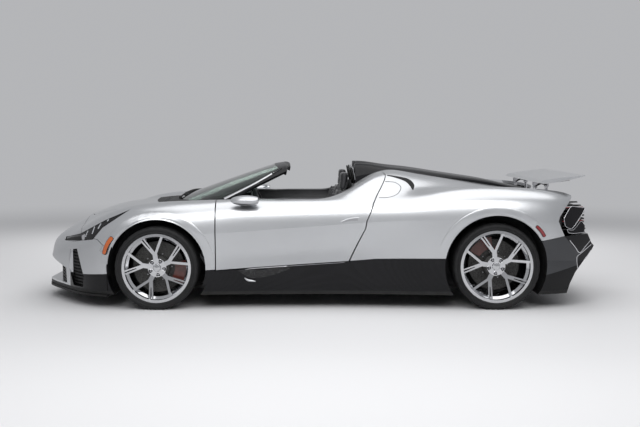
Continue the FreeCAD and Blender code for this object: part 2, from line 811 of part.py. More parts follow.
PILLAR_FOOT_SHARES = (0.2350, 0.775)
PAST_DOOR_SHARE = 0.75
pillar_foot = block((door_front - s.overrun, -s.half_width * PILLAR_FOOT_SHARES[1], low_down),
                    (along(PILLAR_FOOT_SHARES[0]), 0, high_up))
past_door = along(PAST_DOOR_SHARE)
pillar_gap = Vector(s.door_seam, -s.door_seam, 0)
left_door_space = without(
    door_plug(s.door_seam), pillar_foot, cabin_space(cabin_front, past_door, s.door_seam))
left_door = without(
    outer_body.common(door_plug(middle)), cabin_space(cabin_front, past_door, middle),
    pillar_foot.fuse(pillar_foot.translated(pillar_gap)), floor_slab)
door_spaces = both_sides(left_door_space)

# The bonnet's outline seen from above; it draws in at its rear corners so that they swing clear.
BONNET_SHARES = (
    (-0.645, 0.0), (-0.640, 0.16), (-0.580, 0.385), (-0.346, 0.500), (-0.200, 0.544), (-0.100, 0.560),
    (-0.020, 0.565), (-0.004, 0.552),
)
bonnet_plan = both_ways([(along(place), s.half_width * share) for place, share in BONNET_SHARES])
BONNET_BOTTOM_SHARE = 1.5
bonnet_bottom = height(BONNET_BOTTOM_SHARE)
bonnet = shell.common(plan_prism(bonnet_plan, bonnet_bottom, high_up))
bonnet_space = plan_prism(bonnet_plan, bonnet_bottom, high_up, s.moving_seam)

# The spine over the engine, with its two air scoops, seen as stations along the car.
COVER_STATIONS = (
    (0.589, 0.490, 3.68, 4.04, 3.62), (0.630, 0.490, 3.73, 4.02, 3.70), (0.685, 0.488, 3.79, 3.93, 3.75),
    (0.759, 0.478, 3.78, 3.85, 3.72), (0.851, 0.430, 3.70, 3.72, 3.61), (0.943, 0.378, 3.585, 3.595, 3.53),
    (1.113, 0.318, 3.445, 3.45, 3.39), (1.300, 0.280, 3.325, 3.33, 3.28), (1.400, 0.262, 3.285, 3.29, 3.25),
)
COVER_COLUMN_SHARES = (0.30, 0.60, 0.90)
COVER_PATCHES = ((0, 5, 3), (4, 6, 1))


def cover_section(place, share, middle, shoulder, edge):
    """One cross-section of the right half of the engine cover."""
    x = along(place)
    half = s.half_width * share
    inner, outer, rim = [half * column for column in COVER_COLUMN_SHARES]
    bottom = cover_bottom
    return [
        Vector(x, 0, height(middle)), Vector(x, inner, height(middle)), Vector(x, outer, height(shoulder)),
        Vector(x, rim, height(shoulder)), Vector(x, half, height(edge)), Vector(x, half, bottom),
    ]


# An air scoop's mouth behind a headrest as (width, level) shares, and how far it narrows inside.
SCOOP_SHARES = (
    (0.25, 3.36), (0.44, 3.36), (0.462, 3.50), (0.455, 3.72), (0.425, 3.87), (0.37, 3.91), (0.31, 3.87),
    (0.26, 3.74), (0.236, 3.50),
)
SCOOP_END_SHARE = 0.6


def scoop_wire(x, share):
    """The scoop's closed outline at one place, drawn in towards its middle by a share."""
    points = [Vector(x, s.half_width * width, height(level)) for width, level in SCOOP_SHARES]
    centre = sum(points, Vector()) * (1.0 / len(points))
    curve = Part.BSplineCurve()
    curve.interpolate(Points=[centre + (point - centre) * share for point in points], PeriodicFlag=True)
    return Part.Wire(curve.toShape())


cover_sections = [cover_section(*station) for station in COVER_STATIONS]
scoop_face = cover_sections[0][0].x
scoop_wires = [scoop_wire(scoop_face, 1.0), scoop_wire(scoop_face + s.scoop_depth, SCOOP_END_SHARE)]
scoop = Part.makeLoft(scoop_wires, True)
cover_length = block((scoop_face + s.seat_gap, -far_side, low_down),
                     (cover_sections[-1][0].x - s.seat_gap, far_side, high_up))
cover_body = without(lofted(cover_sections, COVER_PATCHES).common(cover_length), scoop, mirrored(scoop))
cover_plan = both_ways([(cover_sections[0][4].x, s.half_width * 0.0)]
                       + [(section[4].x, section[4].y) for section in cover_sections]
                       + [(cover_sections[-1][4].x, s.half_width * 0.0)])
cover_space = plan_prism(cover_plan, cover_bottom - s.seat_gap, high_up, s.panel_seam)

# The well in the deck that takes the wing.
well_half = s.wing_half_span + s.moving_seam * 2.0
wing_well = block((well_front, -well_half, well_floor), (behind, well_half, high_up))
deck_plate = block((well_front, -well_half, well_floor - s.skin), (behind, well_half, well_floor))
deck_plate = deck_plate.common(outer_body)

# The lamps' outline on the front wing, seen from the side.
LAMP_SHARES = (
    (-0.796, 1.570), (-0.612, 1.653), (-0.502, 1.709), (-0.421, 2.020), (-0.243, 2.605), (-0.400, 2.270),
    (-0.620, 1.800), (-0.796, 1.640),
)
# The lamp's inner edge seen from above.
LAMP_INNER_SHARES = ((-0.85, 0.40), (-0.70, 0.56), (-0.52, 0.70), (-0.36, 0.76), (-0.20, 0.80))
lamp_inner = [(along(place), -s.half_width * share) for place, share in LAMP_INNER_SHARES]
lamp_plan = lamp_inner + [(lamp_inner[-1][0], -far_side), (lamp_inner[0][0], -far_side)]
lamp_prism = side_prism(outline_of(LAMP_SHARES), -far_side, middle).common(
    plan_prism(lamp_plan, low_down, high_up))
lamp_space = both_sides(side_prism(outline_of(LAMP_SHARES), -far_side, middle, s.panel_seam).common(
    plan_prism(lamp_plan, low_down, high_up, s.panel_seam)))

# The openings in the nose: one wide mouth and an upright duct at each corner.
DUCT_SHARES = (
    (-0.735, 1.36), (-0.655, 1.42), (-0.592, 0.60), (-0.602, 0.19), (-0.700, 0.19), (-0.752, 0.85),
)
duct_inner = s.half_width * DUCT_INNER_SHARE
duct_prism = side_prism(outline_of(DUCT_SHARES), -far_side, -duct_inner)
duct_back = side_prism(outline_of(DUCT_SHARES), -far_side, s.skin * 2.0 - duct_inner)
MOUTH_SHARES = ((0.22, 0.20), (0.56, 0.20), (0.545, 0.78), (0.20, 1.08), (0.0, 1.08))
mouth_plan = [(s.half_width * share, height(level)) for share, level in MOUTH_SHARES]
mouth_outline = [(y, z) for y, z in mouth_plan] + [(-y, z) for y, z in reversed(mouth_plan) if y > 0.0]
MOUTH_END_SHARE = -0.66
nose_mouth = end_prism(mouth_outline, ahead, along(MOUTH_END_SHARE))
nose_openings = Part.makeCompound([both_sides(duct_prism), nose_mouth])

# The sill's upper edge from the front wheel's arch back into the rear wheel's arch.
SILL_SHARES = (
    (-0.384, 0.777), (0.003, 0.84), (0.146, 0.92), (0.257, 0.985), (0.566, 1.160), (0.644, 1.219),
    (0.726, 1.231), (0.851, 1.241), (0.900, 1.245),
)
SILL_REACH_SHARE = 0.80
sill_line = outline_of(SILL_SHARES)
sill_outline = sill_line + [(sill_line[-1][0], low_down), (sill_line[0][0], low_down)]
sill_prism = side_prism(sill_outline, -far_side, far_side)
sill_space = side_prism(sill_outline, -far_side, far_side, s.panel_seam)
sill_reach = s.half_width * SILL_REACH_SHARE
sill_depth = block((-s.wheelbase, -sill_reach, low_down), (s.wheelbase, sill_reach, high_up))

rear_edge = outline_of(REAR_EDGE_SHARES)
bumper_line = outline_of(BUMPER_LINE_SHARES)
bumper_outline = bumper_line + [
    (bumper_line[-1][0] - s.overrun, bumper_line[-1][1] - s.panel_seam * 2.0),
    (bumper_line[-1][0] - s.overrun, low_down), (behind, low_down), (behind, bumper_line[0][1] + s.skin)]
bumper_prism = side_prism(bumper_outline, -far_side, far_side)
bumper_space = side_prism(bumper_outline, -far_side, far_side, s.panel_seam)
tail_outline = rear_edge + [(behind, rear_edge[-1][1]), (behind, rear_edge[0][1])]
tail_prism = side_prism(tail_outline, -far_side, far_side)



def strip_between(start, end, width, grow):
    """A slanted strip seen from the side, between two (place, level) shares, on the left side."""
    first = Vector(along(start[0]), 0, height(start[1]))
    last = Vector(along(end[0]), 0, height(end[1]))
    aside = (last - first).cross(Vector(0, 1, 0)).normalize() * (width / 2.0)
    corners = [first + aside, last + aside, last - aside, first - aside]
    return side_prism([(c.x, c.z) for c in corners], -far_side, middle, grow)


AMBER_SHARES = ((-0.434, 1.425), (-0.326, 1.794))
RED_SHARES = ((1.338, 2.162), (1.452, 1.784))
marker_space = both_sides(Part.makeCompound([
    strip_between(ends[0], ends[1], s.marker_width, s.marker_seam) for ends in (AMBER_SHARES, RED_SHARES)]))
skin_panels = without(
    shell, marker_space, bonnet_space, door_spaces, cover_space, wing_well, lamp_space, nose_openings,
    front_room, rear_room)
sills = without(
    outer_body.common(sill_prism), sill_depth, floor_slab, front_room, rear_room, door_spaces)
upper_panels = without(skin_panels, sill_space, bumper_space, tail_prism)
# The tailpipes' opening in the bumper.
pipe_z = height(PIPE_LEVEL_SHARE)
PIPE_ROOM_SHARES = (1.5, 1.5, 1.3)
pipe_side = s.pipe_spread + s.pipe_radius * PIPE_ROOM_SHARES[1]
pipe_rise = s.pipe_radius * PIPE_ROOM_SHARES[2]
pipe_room = block((along(PIPE_ROOM_SHARES[0]), -pipe_side, pipe_z - pipe_rise),
                  (behind, pipe_side, pipe_z + pipe_rise))
bumper = without(skin_panels.common(bumper_prism), pipe_room)

# The seam between the nose and the front wings, seen from the side.
NOSE_SEAM_SHARES = ((-0.36, 1.40), (-0.46, 1.70), (-0.62, 1.80), (-0.66, 3.50))
nose_line = outline_of(NOSE_SEAM_SHARES)
nose_outline = [(nose_line[0][0], low_down)] + nose_line
nose_outline += [(ahead, nose_line[-1][1]), (ahead, low_down)]
nose_prism = side_prism(nose_outline, -far_side, far_side)
nose_space = side_prism(nose_outline, -far_side, far_side, s.panel_seam)
cowl_front = along(BONNET_SHARES[-1][0])
cowl_half = s.half_width * COWL_SHARE
cowl_block = block((cowl_front, -cowl_half, low_down), (cabin_middle, cowl_half, high_up))
cowl_space = block((cowl_front, -cowl_half - s.panel_seam, low_down),
                   (cabin_middle, cowl_half + s.panel_seam, high_up))
front_block = block((ahead, -far_side, low_down), (cabin_middle, far_side, high_up))

front_skin = upper_panels.common(front_block)
nose = front_skin.common(nose_prism)
wings_front = without(front_skin, nose_space, cowl_space, glass_well, cabin_room)
cowl = without(front_skin.common(cowl_block), nose_space, glass_well, cabin_room)
quarters = without(upper_panels, front_block, cabin_room)

keep(feature("nose", solids_of(nose)))
keep(feature("cowl", solids_of(cowl)))
keep(feature("front_wings", solids_of(wings_front)))
keep(feature("rear_quarters", solids_of(quarters)))
keep(feature("side_sills", solids_of(sills)))
keep(feature("rear_bumper", solids_of(bumper)))
keep(feature("bonnet", solids_of(bonnet)))
keep(feature("engine_cover", solids_of(cover_body)))

# Four pads for a jack stand out under the floor, just inside the sills.
floor_plate = without(outer_body.common(floor_slab), front_room, rear_room)
pad_bottom = s.sill_level - s.pad_drop
pads = [block((x - s.pad_half, y - s.pad_half, pad_bottom), (x + s.pad_half, y + s.pad_half, floor_top))
        for x in (front_axle + s.pad_setback, rear_axle - s.pad_lead)
        for y in (-s.pad_spread, s.pad_spread)]
keep(feature("undertray", solids_of(floor_plate.multiFuse(pads))))
keep(feature("door_left", solids_of(left_door)))
keep(feature("door_right", solids_of(mirrored(left_door))))


# The inner structure that carries everything: tub, bulkheads, wheel houses and engine bay.
CORE_SHARES = (-0.585, 1.62)
HINGE_SHARES = (2.0, 3.0)
HINGE_LEVEL_SHARES = (1.4, 2.6)
core_front = along(CORE_SHARES[0])
core_rear = along(CORE_SHARES[1])
core_limits = block((core_front, -far_side, s.sill_level + s.floor_sheet + s.seat_gap),
                    (core_rear, far_side, high_up))
bay_half = s.engine_half + s.bay_clearance
engine_bay = block((engine_front - s.bay_clearance, -bay_half, engine_bottom - s.seat_gap),
                   (engine_rear + s.bay_clearance, bay_half, cover_bottom))
luggage_tub = block((tub_front, -s.tub_half, tub_floor), (tub_rear, s.tub_half, high_up))
well_space = block((well_front - s.seat_gap, -well_half - s.seat_gap, well_floor - s.skin - s.seat_gap),
                   (behind, well_half + s.seat_gap, high_up))
inner_sills = without(side_prism(sill_outline, -far_side, far_side, s.seat_gap),
                      block((-s.wheelbase, s.seat_gap - sill_reach, low_down),
                            (s.wheelbase, sill_reach - s.seat_gap, high_up)))
hinge_leaf = door_hinge_y - s.skin * HINGE_SHARES[0] - s.door_seam
hinges = [block((door_front - s.door_seam - s.seat_gap, -hinge_leaf, z - s.skin),
                (door_front - s.seat_gap, -hinge_leaf + s.skin * HINGE_SHARES[1], z + s.skin))
          for z in outline_levels(HINGE_LEVEL_SHARES)]
structure = without(
    core_body.common(core_limits), front_room, rear_room, cabin_room, door_spaces, engine_bay, luggage_tub,
    cover_space, well_space, inner_sills, glass_well)
engine = box("engine_block", (engine_front, -s.engine_half, engine_bottom),
             (engine_rear, s.engine_half, engine_top))
keep(engine)


# The wheel's five forked spokes: one slender limb and one slit limb leave each stem.
SPOKE_GROUPS = 5
SPOKE_TURN = 98.0
LIMB_ANGLE = 18.0
FORK_SHARE = 0.46
STEM_ROOT_SHARE = 0.85
SLIT_SHARES = (0.62, 0.62, 1.02)
TWIN_SHARES = (1.4, 1.8)
CAP_SHARE = 0.8
BORE_SHARE = 0.4
RING_SHARES = (5.0, 7.0)


def wheel_shape(tyre_width, rim_radius):
    """A rim with five forked spokes, turned about the Y axis with its face towards -Y."""
    half = tyre_width / 2.0 - s.rim_inset
    seat = rim_radius - s.rim_lip
    drop = rim_radius - s.rim_drop
    wall = s.rim_wall
    shelf = half - wall * RING_SHARES[0]
    well = half - wall * RING_SHARES[1]
    ring = [
        (-half, rim_radius), (wall - half, rim_radius), (wall - half, seat), (-shelf, seat), (-well, drop),
        (well, drop), (shelf, seat), (half - wall, seat), (half - wall, rim_radius), (half, rim_radius),
        (half, seat - wall), (shelf, seat - wall), (well, drop - wall), (-well, drop - wall),
        (-shelf, seat - wall), (-half, seat - wall),
    ]
    barrel = turned(ring)
    face = s.hub_recess - half
    hub_back = face + s.hub_depth
    bore = s.spindle_radius + s.running_clearance
    bore_end = hub_back - s.hub_depth * BORE_SHARE
    rim_face = wall - half
    dish = turned([
        (face, middle), (face, s.hub_radius), (rim_face, seat - wall),
        (rim_face + s.spoke_depth, seat - wall),
        (hub_back, s.hub_radius), (hub_back, middle)])
    bars = []
    fork = seat * FORK_SHARE
    tip = seat - wall
    for i in range(SPOKE_GROUPS):
        centre = 360.0 / SPOKE_GROUPS * i + SPOKE_TURN
        bars.append(bar(centre, s.hub_radius * STEM_ROOT_SHARE, centre, fork, s.stem_half_width,
                        s.stem_half_width, half))
        bars.append(bar(centre, fork * STEM_ROOT_SHARE, centre - LIMB_ANGLE, tip, s.limb_half_width,
                        s.limb_half_width, half))
        twin = bar(centre, fork * STEM_ROOT_SHARE, centre + LIMB_ANGLE, tip,
                   s.limb_half_width * TWIN_SHARES[0], s.limb_half_width * TWIN_SHARES[1], half)
        slit = bar(centre + LIMB_ANGLE * SLIT_SHARES[0], seat * SLIT_SHARES[1], centre + LIMB_ANGLE,
                   tip * SLIT_SHARES[2], s.slit_width / 2.0, s.slit_width, half * 2.0)
        bars.append(twin.cut(slit))
    spokes = bars[0].multiFuse(bars[1:]).common(dish)
    hub = turned([
        (face, s.cap_radius), (face - s.cap_depth, s.cap_radius * CAP_SHARE), (face - s.cap_depth, middle),
        (bore_end, middle), (bore_end, bore), (hub_back, bore),
        (hub_back, s.hub_radius), (face, s.hub_radius)])
    return barrel.multiFuse([hub, spokes]).removeSplitter()


def turned(outline):
    """A solid turned about the Y axis from an outline of (along the axis, radius)."""
    face = polygon_face([Vector(radius, y, 0) for y, radius in outline])
    return face.revolve(Vector(0, 0, 0), Vector(0, 1, 0), 360.0)


def bar(start_angle, start_radius, end_angle, end_radius, start_half, end_half, depth):
    """A tapered bar in the wheel's face between two points given by angle and radius."""
    start = polar(start_angle, start_radius)
    end = polar(end_angle, end_radius)
    aside = (end - start).cross(Vector(0, 1, 0)).normalize()
    corners = [start + aside * float(start_half), end + aside * float(end_half),
               end - aside * float(end_half), start - aside * float(start_half)]
    return polygon_face([Vector(c.x, -depth, c.z) for c in corners]).extrude(Vector(0, depth * 2.0, 0))


def polar(angle, radius):
    """A point in the wheel's face, its angle measured from the rear of the car upward."""
    return Vector(radius * math.cos(math.radians(angle)), 0, radius * math.sin(math.radians(angle)))


# Shares of a tyre's wall and shoulder, of a caliper and of the arms.
TYRE_WALL_SHARE = 0.45
TYRE_EDGE_SHARE = 0.35
TYRE_DROP_SHARE = 0.3
CALIPER_SPREAD = 27.0
CALIPER_SHARES = (0.75, 0.85)
FRONT_CALIPER_ANGLE = -13.0
REAR_CALIPER_ANGLE = 123.0
SPINDLE_SHARE = 0.6
PIN_SHARE = 1.6
ARM_WINDOW_SHARES = (0.6, 1.8)


def tyre_outline(radius, width, rim_radius):
    """A tyre's section over bead, wall and tread, as (along the axis, radius)."""
    half = width / 2.0
    bead = rim_radius - s.rim_lip + s.tyre_seat
    foot = half - s.rim_inset - s.rim_wall - s.tyre_seat
    wall = rim_radius + (radius - rim_radius) * TYRE_WALL_SHARE
    edge = half - s.tyre_shoulder * TYRE_EDGE_SHARE
    rim_top = rim_radius + s.tyre_seat
    drop = radius - s.tyre_shoulder * TYRE_DROP_SHARE
    return [(-foot, bead), (-foot, rim_top), (-half, wall), (-edge, drop), (s.tyre_shoulder - half, radius),
            (half - s.tyre_shoulder, radius), (edge, drop), (half, wall), (foot, rim_top), (foot, bead)]


def disc_outline(tyre_width):
    """A brake disc with its hat, as (along the axis, radius)."""
    half = tyre_width / 2.0 - s.rim_inset
    hub_back = s.hub_recess - half + s.hub_depth
    outer_face = s.disc_offset - s.disc_thickness / 2.0
    inner_face = s.disc_offset + s.disc_thickness / 2.0
    bore = s.spindle_radius + s.running_clearance
    hat_wall = s.disc_hat_radius - s.rim_wall
    return [(outer_face, s.disc_radius), (inner_face, s.disc_radius), (inner_face, hat_wall),
            (hub_back + s.rim_wall, hat_wall), (hub_back + s.rim_wall, bore), (hub_back, bore),
            (hub_back, s.disc_hat_radius), (outer_face, s.disc_hat_radius)]


def ring_sector(inner, outer, near, far, start, end):
    """Part of a ring about the Y axis between two angles."""
    tube = Part.makeCylinder(outer, far - near, Vector(0, near, 0), Vector(0, 1, 0))
    tube = tube.cut(Part.makeCylinder(inner, far - near, Vector(0, near, 0), Vector(0, 1, 0)))
    reach = outer * 2.0
    corners = [Vector(0, 0, 0), polar(start, reach), polar((start + end) / 2.0, reach), polar(end, reach)]
    wedge = polygon_face([Vector(c.x, near, c.z) for c in corners]).extrude(Vector(0, far - near, 0))
    return tube.common(wedge)


def caliper_shape(angle):
    """A caliper that straddles the disc at an angle, in the wheel's own frame."""
    side = s.disc_thickness / 2.0 + s.caliper_gap
    outer = s.disc_radius + s.caliper_bridge
    inner = s.disc_radius - s.caliper_height * CALIPER_SHARES[0]
    near = s.disc_offset - side - s.caliper_bridge * CALIPER_SHARES[1]
    far = s.disc_offset + side + s.caliper_bridge
    whole = ring_sector(inner, outer, near, far, angle - CALIPER_SPREAD, angle + CALIPER_SPREAD)
    slot = Part.makeCylinder(s.disc_radius + s.caliper_gap, side * 2.0, Vector(0, s.disc_offset - side, 0),
                             Vector(0, 1, 0))
    return whole.cut(slot)


def upright(tyre_width, caliper_angle, pins):
    """The upright of a left wheel, in the wheel's frame, with ball pins where it is steered."""
    half = tyre_width / 2.0 - s.rim_inset
    tip = s.hub_recess - half + s.hub_depth * SPINDLE_SHARE
    face = plate_face
    plate = Part.makeBox(s.knuckle_half_width * 2.0, s.knuckle_thickness, s.knuckle_height,
                         Vector(-s.knuckle_half_width, face, -s.knuckle_height / 2.0))
    spindle = Part.makeCylinder(s.spindle_radius, face - tip, Vector(0, tip, 0), Vector(0, 1, 0))
    arm = Part.makeBox(s.disc_radius, s.knuckle_thickness / 2.0, s.knuckle_half_width,
                       Vector(0, face, -s.knuckle_half_width / 2.0))
    arm.rotate(Vector(0, 0, 0), Vector(0, 1, 0), -caliper_angle)
    parts = [spindle, arm]
    if pins:
        for side in (1.0, -1.0):
            foot = side * s.knuckle_height / 2.0
            parts.append(Part.makeCylinder(s.ball_pin_radius, s.arm_thickness * PIN_SHARE,
                                           Vector(0, s.kingpin_offset, foot), Vector(0, 0, side)))
    return plate.multiFuse(parts).removeSplitter()


def wishbone(track, z, pinned, house_inner):
    """A wishbone from the wheel house's wall to the upright, in the car's frame on the left side."""
    wheel_y = -track / 2.0
    tip_y = wheel_y + s.kingpin_offset
    root_y = -house_inner - s.seat_gap
    low = z - s.arm_thickness / 2.0
    spread = s.arm_half_spread
    outline = [(-spread, root_y), (spread, root_y), (s.arm_eye_radius, tip_y), (-s.arm_eye_radius, tip_y)]
    reach = spread * ARM_WINDOW_SHARES[0]
    gap = [(-reach, root_y), (reach, root_y), (0.0, tip_y + s.arm_eye_radius * ARM_WINDOW_SHARES[1])]
    plate = polygon_face([Vector(x, y, low) for x, y in outline]).extrude(Vector(0, 0, s.arm_thickness))
    window = polygon_face([Vector(x, y, low) for x, y in gap]).extrude(Vector(0, 0, s.arm_thickness))
    eye = Part.makeCylinder(s.arm_eye_radius, s.arm_thickness, Vector(0, tip_y, low))
    arm = plate.cut(window).fuse(eye)
    if pinned:
        arm = arm.cut(Part.makeCylinder(s.ball_pin_radius + s.running_clearance, s.arm_thickness,
                                        Vector(0, tip_y, low)))
    return arm


plate_face = s.disc_offset + s.disc_thickness / 2.0 + s.caliper_gap + s.caliper_bridge + s.seat_gap
AXLES = {
    "front": (front_axle, s.front_track, s.front_tyre_radius, s.front_tyre_width, s.front_rim_radius),
    "rear": (rear_axle, s.rear_track, s.rear_tyre_radius, s.rear_tyre_width, s.rear_rim_radius),
}
for axle, (x, track, radius, width, rim_radius) in AXLES.items():
    rim = wheel_shape(width, rim_radius)
    for side, sign, turn in (("left", -1.0, 0.0), ("right", 1.0, 180.0)):
        place = (x, track * sign / 2.0, radius)
        placement = FreeCAD.Placement(Vector(*place), FreeCAD.Rotation(Vector(0, 0, 1), turn))
        corner = "_%s_%s" % (axle, side)
        keep(feature("wheel" + corner, rim, placement))
        keep(revolved_body("tyre" + corner, tyre_outline(radius, width, rim_radius), place, turn))
        keep(revolved_body("disc" + corner, disc_outline(width), place, turn))

arm_gap = s.seat_gap + s.arm_thickness / 2.0
for side, sign in (("left", -1.0), ("right", 1.0)):
    place = Vector(front_axle, -s.front_track / 2.0, s.front_tyre_radius)
    knuckle = upright(s.front_tyre_width, FRONT_CALIPER_ANGLE, True).translated(place)
    caliper = caliper_shape(FRONT_CALIPER_ANGLE).translated(place)
    keep(feature("knuckle_" + side, solids_of(knuckle if sign < 0.0 else mirrored(knuckle))))
    keep(feature("caliper_front_" + side, solids_of(caliper if sign < 0.0 else mirrored(caliper))))

lower_z = s.front_tyre_radius - s.knuckle_height / 2.0 - arm_gap
upper_z = s.front_tyre_radius + s.knuckle_height / 2.0 + arm_gap
front_arms = [wishbone(s.front_track, z, True, s.front_house_inner).translated(Vector(front_axle, 0, 0))
              for z in (lower_z, upper_z)]
keep(feature("front_suspension", solids_of(both_sides(Part.makeCompound(front_arms)))))

rear_place = Vector(rear_axle, -s.rear_track / 2.0, s.rear_tyre_radius)
rear_upright = upright(s.rear_tyre_width, REAR_CALIPER_ANGLE, False).translated(rear_place)
shaft_start = rear_place + Vector(0, plate_face + s.knuckle_thickness, 0)
half_shaft = Part.makeCylinder(s.shaft_radius, -s.rear_house_inner - s.seat_gap - shaft_start.y, shaft_start,
                               Vector(0, 1, 0))
rear_arms = []
for level in (-s.knuckle_height / 2.0 + s.arm_thickness, s.knuckle_height / 2.0 - s.arm_thickness):
    arm = wishbone(s.rear_track, s.rear_tyre_radius + level, False, s.rear_house_inner)
    rear_arms.append(arm.translated(Vector(rear_axle, 0, 0)))
rear_corner = rear_upright.multiFuse([half_shaft] + rear_arms)
keep(feature("rear_suspension", solids_of(both_sides(rear_corner))))
rear_caliper = caliper_shape(REAR_CALIPER_ANGLE).translated(rear_place)
keep(feature("calipers_rear", solids_of(both_sides(rear_caliper))))


def patch(rows, thickness, along_degree, across_degree):
    """A curved sheet through rows of points, thickened inward."""
    inward = []
    for i, row in enumerate(rows):
        moved = []
        for j, point in enumerate(row):
            ahead = rows[min(i + 1, len(rows) - 1)][j] - rows[max(i - 1, 0)][j]
            aside = row[min(j + 1, len(row) - 1)] - row[max(j - 1, 0)]
            moved.append(point - ahead.cross(aside).normalize() * float(thickness))
        inward.append(moved)
    faces = [plain_surface(grid, along_degree, across_degree) for grid in (rows, inward)]
    for i in (0, -1):
        faces.append(plain_surface([rows[i], inward[i]], 1, across_degree))
        faces.append(plain_surface([[row[i] for row in rows], [row[i] for row in inward]], 1, along_degree))
    sheet = Part.makeShell(faces)
    sheet.sewShape()
    solid = Part.Solid(sheet)
    if solid.Volume < 0.0:
        solid.reverse()
    return solid


def plain_surface(poles, along_degree, across_degree):
    """A face on a grid of poles with evenly spaced knots."""
    along_knots, along_mults = clamped(len(poles), along_degree)
    across_knots, across_mults = clamped(len(poles[0]), across_degree)
    sheet = Part.BSplineSurface()
    sheet.buildFromPolesMultsKnots(poles, along_mults, across_mults, along_knots, across_knots, False, False,
                                   along_degree, across_degree)
    return sheet.toShape()


def full_row(shares):
    """A row of points across the car from (place, width, level) shares of its right half."""
    right = [Vector(along(p), s.half_width * w, height(v)) for p, w, v in shares]
    left = [Vector(p.x, -p.y, p.z) for p in reversed(right[1:])]
    return left + right


# The windscreen's rows from its foot to the header's rear edge, each from the middle outward.
SCREEN_SHARES = (
    ((0.0220, 0.0, 2.955), (0.0320, 0.28, 2.945), (0.0730, 0.56, 2.935), (0.1330, 0.69, 2.945),
     (0.1900, 0.730, 2.965)),
    ((0.1900, 0.0, 3.545), (0.1970, 0.24, 3.535), (0.2200, 0.475, 3.475), (0.2500, 0.585, 3.425),
     (0.2820, 0.640, 3.390)),
    ((0.3330, 0.0, 3.960), (0.3350, 0.20, 3.950), (0.3430, 0.38, 3.915), (0.3520, 0.475, 3.870),
     (0.3620, 0.535, 3.810)),
)
HEADER_SHARES = ((0.3620, 0.0, 4.005), (0.3660, 0.20, 3.995), (0.3740, 0.38, 3.960), (0.3800, 0.475, 3.905),
                 (0.3780, 0.550, 3.740))
PILLAR_SHARES = ((0.2080, 0.745, 2.965), (0.2990, 0.655, 3.390), (0.3780, 0.550, 3.740))

screen_rows = [full_row(row) for row in SCREEN_SHARES]
glass = patch(screen_rows, s.glass_thickness, 2, 3)
header = patch([screen_rows[-1], full_row(HEADER_SHARES)], s.header_thickness, 1, 3)
glass_edge = [row[-1] for row in screen_rows]
pillar_edge = [Vector(along(p), s.half_width * w, height(v)) for p, w, v in PILLAR_SHARES]
pillar = patch([glass_edge, pillar_edge], s.pillar_thickness, 1, 2)
keep(feature("windscreen", solids_of(without(glass, outer_body, header, pillar, mirrored(pillar)))))
keep(feature("windscreen_frame", solids_of(
    Part.makeCompound([header, pillar.cut(outer_body), mirrored(pillar.cut(outer_body))]))))


def slab_at(z, thickness):
    """A flat slab over the whole car."""
    return block((-s.wheelbase, -far_side, z), (s.wheelbase, far_side, z + thickness))


lamp_body = lofted(inset_sections(body_sections, s.panel_seam), BODY_PATCHES)
lamps = without(lamp_body.common(lamp_prism), inner_body, bonnet_space, front_room)
keep(feature("headlamps", solids_of(both_sides(lamps))))

# Black louvres across the tail, behind the silver body's rear edge.
LOUVRE_SHARES = (1.95, 3.05, 1.74)
louvre_bottom = height(LOUVRE_SHARES[0])
louvre_top = height(LOUVRE_SHARES[1])
pitch = (louvre_top - louvre_bottom) / s.louvre_count
louvre_face = core_rear + s.seat_gap
louvre_space = without(outer_body.common(tail_prism), wing_well, block(
    (ahead, -far_side, low_down), (louvre_face, far_side, high_up)))
blades = []
for i in range(int(s.louvre_count)):
    blades.append(louvre_space.common(slab_at(louvre_bottom + pitch * i, s.louvre_thickness)))
carriers = []
for share in CARRIER_SHARES:
    y = s.half_width * share
    carrier = block((louvre_face, y - s.louvre_thickness, louvre_bottom),
                    (along(LOUVRE_SHARES[2]), y + s.louvre_thickness, well_floor))
    carriers.append(louvre_space.common(carrier))
louvres = blades[0].multiFuse(blades[1:] + carriers)
keep(feature("rear_louvres", solids_of(louvres)))

# The seats, the dashboard and the tunnel between the seats, padded across from a side outline.
SEAT_SPAN_SHARE = 0.33
SEAT_SHARES = (
    (-0.40, 0.0), (-0.42, 0.20), (-0.40, 0.235), (-0.05, 0.215), (0.05, 0.245), (0.165, 0.72), (0.175, 0.80),
    (0.205, 1.0), (0.285, 1.0), (0.295, 0.80), (0.27, 0.45), (0.22, 0.0),
)


def padded_body(label, outline, width, y):
    """A body padded evenly to both sides of an outline of (x, z)."""
    body = doc.addObject("PartDesign::Body", label)
    body.Label = label
    sketch = sketch_outline(body, "XZ_Plane", label + "_outline", outline)
    pad = body.newObject("PartDesign::Pad", label + "_pad")
    pad.Profile = sketch
    pad.Midplane = True
    pad.setExpression("Length", formula_of(width))
    bind(body, **{"Placement.Base.y": y})
    return body


seat_foot = cabin_floor + s.seat_gap
seat_rise = headrest_top - seat_foot
for side, sign in (("left", -1.0), ("right", 1.0)):
    seat_outline = [(cabin_rear * (x / SEAT_SPAN_SHARE), seat_foot + seat_rise * z) for x, z in SEAT_SHARES]
    keep(padded_body("seat_" + side, seat_outline, s.seat_width, s.seat_centre * sign))

